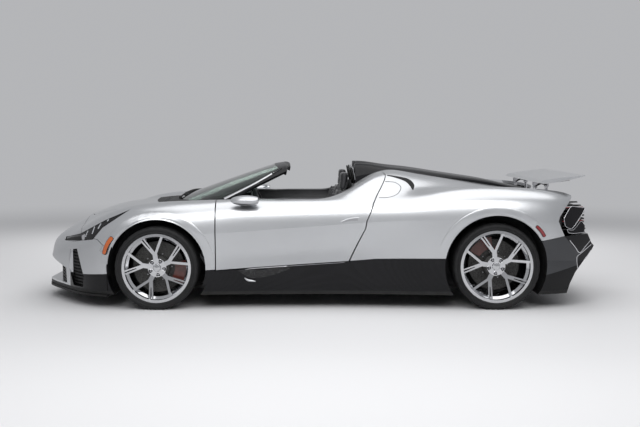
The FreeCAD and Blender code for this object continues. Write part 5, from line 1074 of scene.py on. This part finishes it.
def build_seat(hand, side):
    """A bucket seat: hard shell, channelled pads, side bolsters, head pad, piping and belt."""
    y = middle(f"seat_{side}")[1]
    shell, rails, piping, belt, buckle = (
        Form(f"{name}_{side}") for name in ("seat_shell", "seat_rails", "seat_piping", "seat_belt", "belt_buckle"))
    loops = []
    for p, s, along in frames(smooth_path(SEAT_SHELL, 60)):
        out = Vector((-along.z, 0, along.x))
        half = 0.235 if s < 0.80 else 0.235 - 0.115 * min(1.0, (s - 0.80) / 0.12) ** 1.5
        flare = 0.055 * (1.0 if s < 0.8 else max(0.0, 1.0 - (s - 0.8) / 0.1))
        outer = ((1.0, flare), (0.97, flare * 0.4), (0.8, 0.0))
        inner = ((0.78, 0.012), (0.92, flare * 0.4 + 0.01), (0.96, flare + 0.004))
        section = [(-a, h) for a, h in outer] + [(0.0, -0.004), *outer[::-1], *inner[::-1], (0.0, 0.010)]
        section += [(-a, h) for a, h in inner]
        loops.append([p + out * h + Vector((0, y + a * half, 0)) for a, h in section])
    shell.loft(loops)
    shell.done("gloss_black", slot="leather", replaces=(f"seat_{side}",), levels=1)
    for dy in (-RAIL_Y, RAIL_Y):
        rails.block((-0.17, y + dy, 0.176), (0.46, 0.03, 0.014))
        rails.block((-0.33, y + dy, 0.205), (0.04, 0.024, 0.058))
        rails.block((0.02, y + dy, 0.198), (0.04, 0.024, 0.05))
    rails.done("satin_metal", slot="suspension_metal", bevel=0.003)
    pad(f"seat_cushion_{side}", SEAT_BASE, 0.150, 0.036, 0.075, (0.22, 0.38, 0.54, 0.70), y=y)
    pad(f"seat_back_pad_{side}", SEAT_BACK, lambda s: 0.150 - 0.02 * s, 0.034, 0.065,
        (0.14, 0.28, 0.42, 0.56, 0.70, 0.84), y=y)
    bolster = dict(power=0.7, sides=24, rows=48)
    for dy, label in ((-BOLSTER_Y, "outer"), (BOLSTER_Y, "inner")):
        pad(f"seat_base_bolster_{label}_{side}", [(px + 0.005, pz + 0.012) for px, pz in SEAT_BASE], 0.036, 0.044,
            0.085, y=y + dy, **bolster)
        pad(f"seat_back_bolster_{label}_{side}", [(px - 0.018, pz) for px, pz in SEAT_BACK[:-1]] + [(0.190, 0.875)],
            0.034, 0.046, 0.07, y=y + dy, **bolster)
    pad(f"head_pad_{side}", HEAD_PAD, 0.100, 0.036, 0.032, (0.5,), y=y, power=0.6, rows=36)
    for dy in (-PIPING_Y, PIPING_Y):
        for path, shift in ((SEAT_BASE, (0, y + dy, 0.022)), (SEAT_BACK, (-0.024, y + dy * 0.95, 0.004))):
            piping.tube([p + Vector(shift) for p in smooth_path(path, 40)],
                        bpy.context.scene.roadster_cabin.piping_radius)
    piping.done("thread")
    spots = []
    for p, s, along in frames(smooth_path(SEAT_BELT, 48)):
        out = Vector((along.z, 0, -along.x))
        spots.append((p + Vector((-0.022, y + hand * (0.09 - 0.24 * s), 0.008)), -out if out.x > 0 else out))
    belt.ribbon(spots, strip(0.023, flat(0.0016, 0.0)))
    belt.done("webbing")
    lean = Matrix.Rotation(radians(-25), 3, "Y")
    buckle.block((-0.035, y - hand * BUCKLE_Y, 0.375), (0.06, 0.022, 0.09), lean)
    buckle.block((-0.053, y - hand * BUCKLE_Y, 0.418), (0.03, 0.024, 0.012), lean)
    buckle.done("satin_black", slot="leather", bevel=0.004)


def build_door_card(hand, side):
    """The leather inner panel of one door with its rolled cap, stitching, pull and speaker."""
    node = f"door_{side}"
    skin = Skin(node)
    columns = [-0.735 + 1.045 * i / 44 for i in range(45)]
    tops = []
    for x in columns:
        for k in range(60):
            top = 1.0 - 0.006 * k
            spot, _ = skin.cast((x, 0.0, top), (0, hand, 0))
            if spot is not None and abs(spot.y) > 0.6:
                break
        tops.append(top)
    rows = []
    for x, top in zip(columns, smoothed(tops, 2)):
        row = []
        for k in range(22):
            z = CARD_FOOT + (top - 0.010 - CARD_FOOT) * k / 21
            spot, _ = skin.cast((x, 0.0, z), (0, hand, 0))
            depth = abs(spot.y) if spot is not None else 0.86
            rest = exp(-((z - 0.60) / 0.045) ** 2) * 0.045 * max(0.0, min(1.0, (x + 0.55) * 6, (0.22 - x) * 6))
            swell = 0.010 + 0.010 * exp(-((z - 0.76) / 0.05) ** 2) + rest
            row.append(Vector((x, hand * (depth - swell), z)))
        rows.append(row)
    card, cap, stitch, pull, speaker = (
        Form(f"door_{name}_{side}") for name in ("card", "cap", "stitch", "pull", "speaker"))
    card.slab(rows, Vector((0, hand * 0.006, 0)))
    card.done("leather", node, crease=50.0)
    cap.tube([row[-1] + Vector((0, hand * 0.010, 0.002)) for row in rows], 0.0125, 12)
    cap.done("leather", node)
    proud = Vector((0, -hand * 0.0006, 0))
    stitch.tube([row[17] + proud for row in rows], 0.0013, 6)
    stitch.tube([row[6] + proud for row in rows[8:36]], 0.0013, 6)
    stitch.done("thread", node)
    grip = ((10, 0.0, 0.0), (12, -0.03, 0.008), (18, -0.034, 0.012), (21, 0.0, 0.006))
    pull.tube(smooth_path([rows[i][13] + Vector((0, hand * dy, dz)) for i, dy, dz in grip], 24), 0.008, 10)
    pull.done("satin_metal", node)
    speaker.lathe([(-hand * u, r) for u, r in ((0.001, 0.062), (0.004, 0.060), (0.004, 0.055), (0.002, 0.052),
                                               (0.004, 0.02), (0.0045, 0.001))], rows[9][5], 40)
    speaker.done("mesh_screen", node)


def build_dash():
    """Instrument hood, dials, vents, passenger strip and seams on the dashboard."""
    _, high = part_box("dashboard")
    top, rear = high.z, high.x
    skin = Skin("dashboard")
    hood, dials, faces, marks, vents, vanes, trim, seam = map(Form, (
        "instrument_hood", "dial_bezels", "dial_faces", "dial_marks", "dash_vents", "dash_vent_vanes", "dash_strip",
        "dash_stitching"))
    loops = []
    for i in range(14):
        s = i / 13
        rows = [[Vector((rear - 0.20 + 0.235 * s, DRIVER_Y + cos(pi * k / 24) * (0.185 + 0.012 * s - r),
                         top - 0.030 + abs(sin(pi * k / 24)) ** 0.6 * (0.052 + 0.020 * s - r)))
                 for k in range(25)] for r in (0.0, 0.006)]
        loops.append(rows[0] + rows[1][::-1])
    hood.loft(loops)
    hood.done("leather", crease=50.0)
    for dy, radius in DIALS:
        centre = Vector((rear + 0.004, DRIVER_Y + dy, top - 0.018))

        def at(turn, share, low_share, x):
            """A spot on the dial, at shares of its radius across and up."""
            return centre + Vector((x, cos(turn) * radius * share, sin(turn) * radius * low_share))

        dials.tube([at(tau * k / 48, 1.0, 0.8, 0.0) for k in range(49)], 0.0032, ends=False)
        disc = [at(tau * k / 48, 1.0, 0.8, -0.003) for k in range(48)]
        faces.add(disc + [p - Vector((0.006, 0, 0)) for p in disc],
                  [list(range(48)), list(range(95, 47, -1))]
                  + [[k, (k + 1) % 48, 48 + (k + 1) % 48, 48 + k] for k in range(48)])
        for k in range(25):
            turn = radians(225 - 270 * k / 24)
            size = 0.16 if k % 4 else 0.26
            marks.tube([at(turn, 0.88, 0.7, -0.002), at(turn, 0.88 - size, 0.7 - size * 0.8, -0.002)], 0.0006, 4)
        marks.tube([centre + Vector((-0.001, 0, 0)), at(radians(195), 0.7, 0.56, -0.001)], 0.0011, 6)
    dials.done("bright_trim")
    faces.done("dial_face")
    marks.done("thread", slot="chrome_trim")
    for y in VENTS_Y:
        centre = Vector((rear + 0.001, y, top - 0.070))
        vents.tube([centre + Vector((0.002, c * 0.033, s * 0.033)) for c, s in circle(32, 1)], 0.0045, ends=False)
        for k in range(-2, 3):
            width = 2 * sqrt(0.031 ** 2 - (k * 0.011) ** 2)
            vanes.block(centre + Vector((0, 0, k * 0.011)), (0.008, width, 0.002))
    vents.done("bright_trim")
    vanes.done("satin_black")
    trim.block((rear + 0.0015, 0.40, top - 0.125), (0.006, 0.50, 0.012))
    trim.block((rear + 0.0015, -0.40, top - 0.150), (0.006, 0.50, 0.006))
    trim.done("satin_metal", bevel=0.002)
    for inset in (0.012, 0.020):
        for k in range(78):
            spot, _ = skin.above(rear - inset, -0.68 + 1.36 * k / 77)
            seam.block(spot + Vector((0, 0, 0.0006)), (0.0012, 0.0105, 0.0012))
    seam.done("thread")


def build_console():
    """Four dials, the selector, two inlays and the armrest pad on the raised spine."""
    skin = Skin("centre_console")
    knobs, rings, lever, inlay = map(Form, ("console_dials", "console_dial_rings", "drive_selector", "console_inlay"))
    for k in range(4):
        spot, out = skin.above(-0.60 + 0.062 * k, 0.0)
        knobs.pin(spot, out, 0.021, 0.020, 32, 0.15)
        side, other = across_from(out)
        rings.tube([spot + out * 0.002 + (side * c + other * s) * 0.0235 for c, s in circle(32, 1)], 0.0018, 6,
                   ends=False)
    knobs.done("satin_metal", crease=30.0)
    rings.done("bright_trim")
    spot, out = skin.above(-0.30, 0.0)
    lever.tube([spot, spot + out * 0.035], 0.008, 12)
    lever.block(spot + out * 0.045 + Vector((0.006, 0, 0)), (0.055, 0.030, 0.022))
    lever.done("satin_black", bevel=0.006)
    for dy in (-0.052, 0.052):
        inlay.ribbon([skin.above(-0.66 + 0.52 * i / 23, dy) for i in range(24)], strip(0.003, flat(0.0012, 0.001)))
    inlay.done("bright_trim")
    spots = [skin.above(-0.18 + 0.46 * i / 11, 0.0)[0] for i in range(12)]
    pad("arm_pad", [(p.x, p.z + 0.004) for p in spots], 0.085, 0.016, 0.002, (0.5,), power=0.5)


def build_floor():
    """Bound carpet mats and metal pedals with rubber studs."""
    mats, edge, pedals, studs = map(Form, ("floor_mats", "mat_binding", "pedals", "pedal_studs"))
    for hand, side in HANDS:
        y0, y1 = sorted(hand * y for y in MAT_EDGES)
        x0, x1 = MAT_ENDS
        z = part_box(f"seat_{side}")[0].z + 0.003
        mats.block(((x0 + x1) / 2, (y0 + y1) / 2, z), (x1 - x0, y1 - y0, 0.006))
        edge.tube([(x0, y0, z), (x0, y1, z), (x1, y1, z), (x1, y0, z), (x0, y0, z)], 0.004, ends=False)
    mats.done("carpet", bevel=0.003)
    edge.done("leather")
    lean = Matrix.Rotation(radians(-32), 3, "Y")
    for y, size in PEDALS:
        centre = Vector((-0.90, y, 0.29))
        pedals.block(centre, size, lean)
        pedals.tube([centre - Vector((0.01, 0, 0)), centre + Vector((-0.07, 0, 0.10))], 0.008)
        for i in range(-1, 2):
            for j in range(-1, 2):
                studs.pin(centre + lean @ Vector((0.006, i * size[1] * 0.28, j * size[2] * 0.3)),
                          lean @ Vector((1, 0, 0)), 0.004, 0.003, 10)
    pedals.done("satin_metal", bevel=0.003)
    studs.done("rubber")


def build_steering():
    """Hub pad, inlaid spokes and paddles on the steering wheel."""
    low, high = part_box("steering_wheel")
    points = [v.co for v in NODES["steering_wheel"].data.vertices]
    rim = [p for p in points if p.x > low.x + (high.x - low.x) * 0.35]
    centre = Vector((sum(p.x for p in rim) / len(rim), (low.y + high.y) / 2,
                     (min(p.z for p in rim) + max(p.z for p in rim)) / 2))
    turn = Matrix.Rotation(-WHEEL_LEAN, 3, "Y")
    out, up = Vector((cos(WHEEL_LEAN), 0, sin(WHEEL_LEAN))), Vector((-sin(WHEEL_LEAN), 0, cos(WHEEL_LEAN)))
    hub, inlay, paddles = map(Form, ("steering_hub", "steering_spoke_inlays", "shift_paddles"))
    hub.loft([[centre + out * (share * 0.022 - 0.002) + up * (squared(s, 0.7) * 0.042 * r)
               + Vector((0, squared(c, 0.7) * 0.055 * r, 0)) for c, s in circle(40)]
              for share, r in ((0.0, 1.0), (0.6, 1.0), (0.9, 0.9), (1.0, 0.6), (1.03, 0.02))])
    hub.done("leather", slot="steering_leather", levels=1)
    for hand, _ in HANDS:
        inlay.block(centre + out * 0.006 + Vector((0, hand * 0.105, 0)), (0.008, 0.085, 0.022), turn)
        paddles.block(centre - out * 0.035 + up * 0.03 + Vector((0, hand * 0.115, 0)), (0.006, 0.05, 0.085), turn)
    inlay.done("satin_metal", bevel=0.003)
    paddles.done("satin_metal", bevel=0.0025)


# Tail and wing

PODS = (
    ("upper", ((1.992, 0.728), (2.020, 0.775), (2.057, 0.820), (2.120, 0.815), (2.186, 0.806)),
     ((1.998, 0.690), (2.010, 0.662), (2.064, 0.645), (2.112, 0.692), (2.166, 0.762))),
    ("lower", ((2.020, 0.640), (2.070, 0.632), (2.105, 0.655), (2.150, 0.698), (2.190, 0.660)),
     ((2.034, 0.612), (2.070, 0.605), (2.110, 0.604), (2.160, 0.606), (2.212, 0.612))),
)
CORNER_LINES = (
    ((2.050, 0.548), (2.100, 0.494), (2.151, 0.440), (2.200, 0.486), (2.250, 0.535)),
    ((2.126, 0.410), (2.175, 0.443), (2.225, 0.477), (2.262, 0.502)),
    ((2.126, 0.410), (2.131, 0.360), (2.140, 0.300)),
    ((2.140, 0.300), (2.180, 0.350), (2.225, 0.405), (2.262, 0.452)),
)
STRUT_Y, PIPE_Y = 0.445, 0.072
FINS_Y = (-0.60, -0.42, -0.24, 0.24, 0.42, 0.60)
FIN_FACES = ([0, 1, 2, 3], [7, 6, 5, 4], [0, 4, 5, 1], [1, 5, 6, 2], [0, 3, 7, 4], [3, 2, 9, 8], [6, 7, 10, 11],
             [2, 6, 11, 9], [3, 8, 10, 7], [8, 9, 11, 10])


def build_tail():
    """Dark pipe bores and diffuser fins."""
    pipes_low, pipes_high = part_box("tailpipes")
    x, z = pipes_high.x, (pipes_low.z + pipes_high.z) / 2
    bores, fins = Form("pipe_bores"), Form("diffuser_fins")
    for y in (-PIPE_Y, PIPE_Y):
        bores.loft([[Vector((px, y + c * r, z + s * r)) for c, s in circle(40)]
                    for px, r in ((x - 0.05, 0.001), (x - 0.05, 0.050), (x - 0.004, 0.0525))], ends=False)
    bores.done("satin_black", slot="chrome_trim")
    skin = Skin("rear_bumper", "undertray")
    for y in FINS_Y:
        low, high = (skin.hit((3.0, y, z), (-1, 0, 0))[0] for z in (0.175, 0.265))
        fins.add([low + Vector((dx, dy, dz)) for dy in (-0.004, 0.004)
                  for dx, dz in ((-0.02, -0.02), (0.018, -0.012), (0.02, 0.03), (-0.02, 0.03))]
                 + [high + Vector((dx, dy, 0)) for dy in (-0.004, 0.004) for dx in (-0.02, 0.006)], FIN_FACES)
    fins.done("satin_black", slot="grey_bumper", bevel=0.001)


def build_tail_pods(hand, side):
    """Dark lamp pods with bright edges over the ends of the louvres, and the bright lines below them."""
    skin = Skin("rear_louvres", "tail_lamps")
    start, step, count = 1.96, 0.01, 28
    reach = []
    for i in range(count):
        places = [(start + step * i, 0.62 + 0.004 * k) for k in range(60)]
        reach.append(max([0.0] + [abs(p.y) for p, _ in skin.found(places, hand) if abs(p.y) < 0.98]))
    reach = [max(r, reach[0] * 0.5) for r in reach]

    def tip(p, lift):
        """A point moved out to the ends of the louvres."""
        share = max(0.0, min(count - 1.001, (p.x - start) / step))
        k = int(share)
        return Vector((p.x, hand * (reach[k] + (reach[k + 1] - reach[k]) * (share - k) + lift), p.z))

    for label, *lines in PODS:
        plate, edge = Form(f"tail_pod_{label}_{side}"), Form(f"tail_pod_edge_{label}_{side}")
        upper, lower = (smooth_path(line, 24) for line in lines)
        rows = []
        for a, b in zip(upper, lower):
            across = [a.lerp(b, k / 6) for k in range(7)]
            rows.append([tip(p, 0.004) for p in across] + [tip(p, -0.006) for p in reversed(across)])
        plate.loft(rows)
        plate.done("gloss_black")
        edge.tube([tip(p, 0.003) for p in upper + lower[::-1] + upper[:1]], 0.0026, ends=False)
        edge.done("bright_trim")
    skin = Skin("rear_bumper")
    form = Form(f"tail_corner_lines_{side}")
    for line in CORNER_LINES:
        spots = skin.found([(p.x, p.z) for p in smooth_path(line, 20)], hand, 0.5)
        form.ribbon(spots, strip(0.0035, flat(0.002)))
    form.done("bright_trim")


def build_wing_links():
    """Bright clevises and dark links between the struts and the raised blade."""
    clevises, links = Form("wing_clevises"), Form("wing_links")
    for hand, _ in HANDS:
        y = hand * STRUT_Y
        for x, top in ((1.858, 0.992), (1.955, 1.002)):
            for dy in (-0.019, 0.019):
                clevises.block((x, y + dy, top - 0.020), (0.034, 0.006, 0.046))
            clevises.tube([(x, y - 0.026, top - 0.030), (x, y + 0.026, top - 0.030)], 0.006, 12)
        for dy in (-0.026, 0.026):
            links.tube([(1.858, y + dy, 0.962), (1.905, y + dy, 0.985), (1.955, y + dy, 0.972)], 0.0055)
    clevises.done("bright_trim", "wing", bevel=0.002)
    links.done("satin_black", "wing")


def build_wing():
    """Dark underside and warm lamp box of the raised wing."""
    low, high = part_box("wing_blade")
    skin = Skin("wing_blade")

    def below(x, y=0.0):
        return skin.hit((x, y, 0.8), (0, 0, 1))[0]

    under, box = Form("wing_underside"), Form("wing_lamp_box")
    under.plate([[below(low.x + 0.020 + (high.x - low.x - 0.045) * k / 8, -0.770 + 1.54 * i / 24)
                  + Vector((0, 0, -LIFT)) for k in range(9)] for i in range(25)], Vector((0, 0, 0.0006)))
    under.done("gloss_black", "wing")
    x0, x1 = low.x + 0.19, low.x + 0.30
    z0, z1 = below(x0).z, below(x1).z
    box.loft([[Vector((x0 + inset, y, z0 - 0.001)), Vector((x0 + inset, y, z0 - 0.016 + inset)),
               Vector((x1 - inset, y, z1 - 0.028 + inset)), Vector((x1 - inset, y, z1 - 0.001))]
              for y, inset in ((-0.60, 0.010), (-0.58, 0.0), (0.58, 0.0), (0.60, 0.010))])
    box.done("warm_lens", "wing", bevel=0.002)


# Stage

# Each lamp's size, place and aim.
LAMPS = {
    "overhead_lamp": ((6.0, 5.0), (0.9, -1.0, 5.0), (0.3, 0.0, 0.0)),
    "near_lamp": ((7.0, 2.6), (0.0, -5.5, 3.8), (0.0, 0.0, 0.5)),
    "far_lamp": ((7.0, 1.6), (0.0, 5.6, 3.6), (0.0, 0.0, 0.5)),
}


def put(name, data):
    """A new object in the scene."""
    made = bpy.data.objects.new(name, data)
    bpy.context.scene.collection.objects.link(made)
    return made


def build_floor_disc(t):
    """The pale floor, which fades into the backdrop's colour far out."""
    mesh = bpy.data.meshes.new("floor")
    mesh.from_pydata([(c * t.floor_radius, s * t.floor_radius, 0.0) for c, s in circle(96)], [], [list(range(96))])
    s = Shader("plain_floor", base_color=t.floor_colour, roughness=0.8, specular_ior_level=0.2)
    distance = s.node("VectorMath", {0: s.place}, operation="LENGTH").outputs["Value"]
    reach = s.node("MapRange", {"Value": distance, "From Min": 4.0, "From Max": 13.0}, interpolation_type="SMOOTHSTEP")
    glow = s.node("Emission", {"Color": (*t.backdrop_colour, 1.0)})
    blend = s.node("MixShader", {"Fac": reach.outputs["Result"], 1: s.surface.outputs["BSDF"],
                                 2: glow.outputs["Emission"]})
    s.tree.links.new(blend.outputs["Shader"], s.tree.nodes["Material Output"].inputs["Surface"])
    mesh.materials.append(s.material)
    floor = put("floor", mesh)


def build_sky(t):
    """Even light from all round, with the plain backdrop where camera, gloss or glass see it."""
    world = bpy.context.scene.world = bpy.data.worlds.new("studio")
    world.use_nodes = True
    tree = world.node_tree
    light = tree.nodes["Background"]
    light.inputs["Color"].default_value = (*t.backdrop_colour, 1.0)
    light.inputs["Strength"].default_value = t.sky_level
    seen = add_node(tree, "Background", {"Color": (*t.backdrop_colour, 1.0)})
    rays = add_node(tree, "LightPath").outputs
    share = rays["Is Camera Ray"]
    for kind in ("Is Glossy Ray", "Is Transmission Ray"):
        share = add_node(tree, "Math", {0: share, 1: rays[kind]}, operation="MAXIMUM").outputs[0]
    blend = add_node(tree, "MixShader", {"Fac": share, 1: light.outputs["Background"], 2: seen.outputs["Background"]})
    tree.links.new(blend.outputs["Shader"], tree.nodes["World Output"].inputs["Surface"])


def build_stage():
    """Floor, even light, lamps and camera."""
    scene = bpy.context.scene
    t = scene.roadster_stage
    scene.view_settings.view_transform = "Standard"
    build_floor_disc(t)
    build_sky(t)
    for name, (size, place, aim) in LAMPS.items():
        lamp = bpy.data.lights.new(name, "AREA")
        lamp.shape = "RECTANGLE"
        lamp.size, lamp.size_y = size
        lamp.energy = t.overhead_power if name == "overhead_lamp" else t.flank_power
        made = put(name, lamp)
        made.location = place
        made.rotation_euler = (Vector(aim) - Vector(place)).to_track_quat("-Z", "Y").to_euler()
        made.visible_camera = False
        made.visible_glossy = name != "far_lamp"
    camera = bpy.data.cameras.new("photo_camera")
    camera.lens, camera.sensor_width = t.lens, 36.0
    scene.camera = put("photo_camera", camera)
    scene.camera.location = t.camera_place
    scene.camera.rotation_euler = (pi / 2 - t.camera_dip, 0.0, 0.0)


# Operators

def both(*builders):
    """Runs builders for the left side and then for the right."""
    for hand, side in HANDS:
        for build in builders:
            build(hand, side)


class ROADSTER_OT_stage(bpy.types.Operator):
    """Set out the floor, the lamps and the camera"""
    bl_idname = "roadster.stage"
    bl_label = "Studio"

    def execute(self, context):
        build_stage()
        return {"FINISHED"}


class ROADSTER_OT_finishes(bpy.types.Operator):
    """Give every node of the frame its detailed finish"""
    bl_idname = "roadster.finishes"
    bl_label = "Finishes"

    def execute(self, context):
        for name, node in NODES.items():
            slot = node.data.materials[0].name.split(".")[0]
            surface = finish(NODE_FINISHES.get(name, SLOT_FINISHES.get(slot, slot)))
            for holder in node.material_slots:
                holder.link = "OBJECT"
                holder.material = surface
        return {"FINISHED"}


class ROADSTER_OT_wheels(bpy.types.Operator):
    """Build the tyres, wheel caps, lug bolts and brake details"""
    bl_idname = "roadster.wheels"
    bl_label = "Wheels"

    def execute(self, context):
        for axle in AXLES:
            for hand, side in HANDS:
                place = f"{axle}_{side}"
                build_tyre(place)
                build_wheel_trim(place, axle, hand)
                build_brake(place, hand)
        return {"FINISHED"}


class ROADSTER_OT_flanks(bpy.types.Operator):
    """Lay the arch lips, lines, handles, markers, ducts and mirror glasses on the flanks"""
    bl_idname = "roadster.flanks"
    bl_label = "Flank trim"

    def execute(self, context):
        both(build_arch_lips, build_flank_lines, build_handles, build_sill_fins, build_nose_ducts,
             build_bright_lines, build_markers, build_mirrors)
        return {"FINISHED"}


class ROADSTER_OT_wipers(bpy.types.Operator):
    """Rest the wipers at the screen's foot, and set the dark band and the scoops' frames"""
    bl_idname = "roadster.wipers"
    bl_label = "Wipers"

    def execute(self, context):
        build_wipers()
        build_bonnet_band()
        both(build_scoop_frames)
        return {"FINISHED"}


class ROADSTER_OT_lamps(bpy.types.Operator):
    """Put the bright bars, slots and notches on the headlamps"""
    bl_idname = "roadster.lamps"
    bl_label = "Lamps"

    def execute(self, context):
        both(build_headlamps)
        return {"FINISHED"}


class ROADSTER_OT_seats(bpy.types.Operator):
    """Upholster the two seats"""
    bl_idname = "roadster.seats"
    bl_label = "Seats"

    def execute(self, context):
        both(build_seat)
        return {"FINISHED"}


class ROADSTER_OT_cabin(bpy.types.Operator):
    """Trim the doors, dashboard, console, floor and steering wheel"""
    bl_idname = "roadster.cabin"
    bl_label = "Cabin"

    def execute(self, context):
        both(build_door_card)
        build_dash()
        build_console()
        build_floor()
        build_steering()
        return {"FINISHED"}


class ROADSTER_OT_tail(bpy.types.Operator):
    """Finish the tail, the diffuser and the raised wing"""
    bl_idname = "roadster.tail"
    bl_label = "Tail and wing"

    def execute(self, context):
        build_tail()
        both(build_tail_pods)
        build_wing()
        build_wing_links()
        return {"FINISHED"}


STEPS = (
    ROADSTER_OT_stage, ROADSTER_OT_finishes, ROADSTER_OT_wheels, ROADSTER_OT_flanks, ROADSTER_OT_wipers,
    ROADSTER_OT_lamps, ROADSTER_OT_seats, ROADSTER_OT_cabin, ROADSTER_OT_tail)


class ROADSTER_PT_panel(bpy.types.Panel):
    """Lists the steps that dress the roadster"""
    bl_idname = "ROADSTER_PT_panel"
    bl_label = "Roadster"
    bl_space_type = "VIEW_3D"
    bl_region_type = "UI"
    bl_category = "Roadster"

    def draw(self, context):
        for step in STEPS:
            self.layout.operator(step.bl_idname)


SETTINGS = {
    "roadster_stage": StageSettings, "roadster_finish": FinishSettings, "roadster_wheels": WheelSettings,
    "roadster_trim": TrimSettings, "roadster_cabin": CabinSettings,
}
CLASSES = (*SETTINGS.values(), *STEPS, ROADSTER_PT_panel)


def register():
    for made in CLASSES:
        bpy.utils.register_class(made)
    for name, group in SETTINGS.items():
        setattr(bpy.types.Scene, name, PointerProperty(type=group))


def unregister():
    for name in SETTINGS:
        delattr(bpy.types.Scene, name)
    for made in reversed(CLASSES):
        bpy.utils.unregister_class(made)


def main():
    """Registers the add-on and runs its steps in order."""
    register()
    for step in STEPS:
        family, name = step.bl_idname.split(".")
        getattr(getattr(bpy.ops, family), name)()


if __name__ == "__main__":
    main()
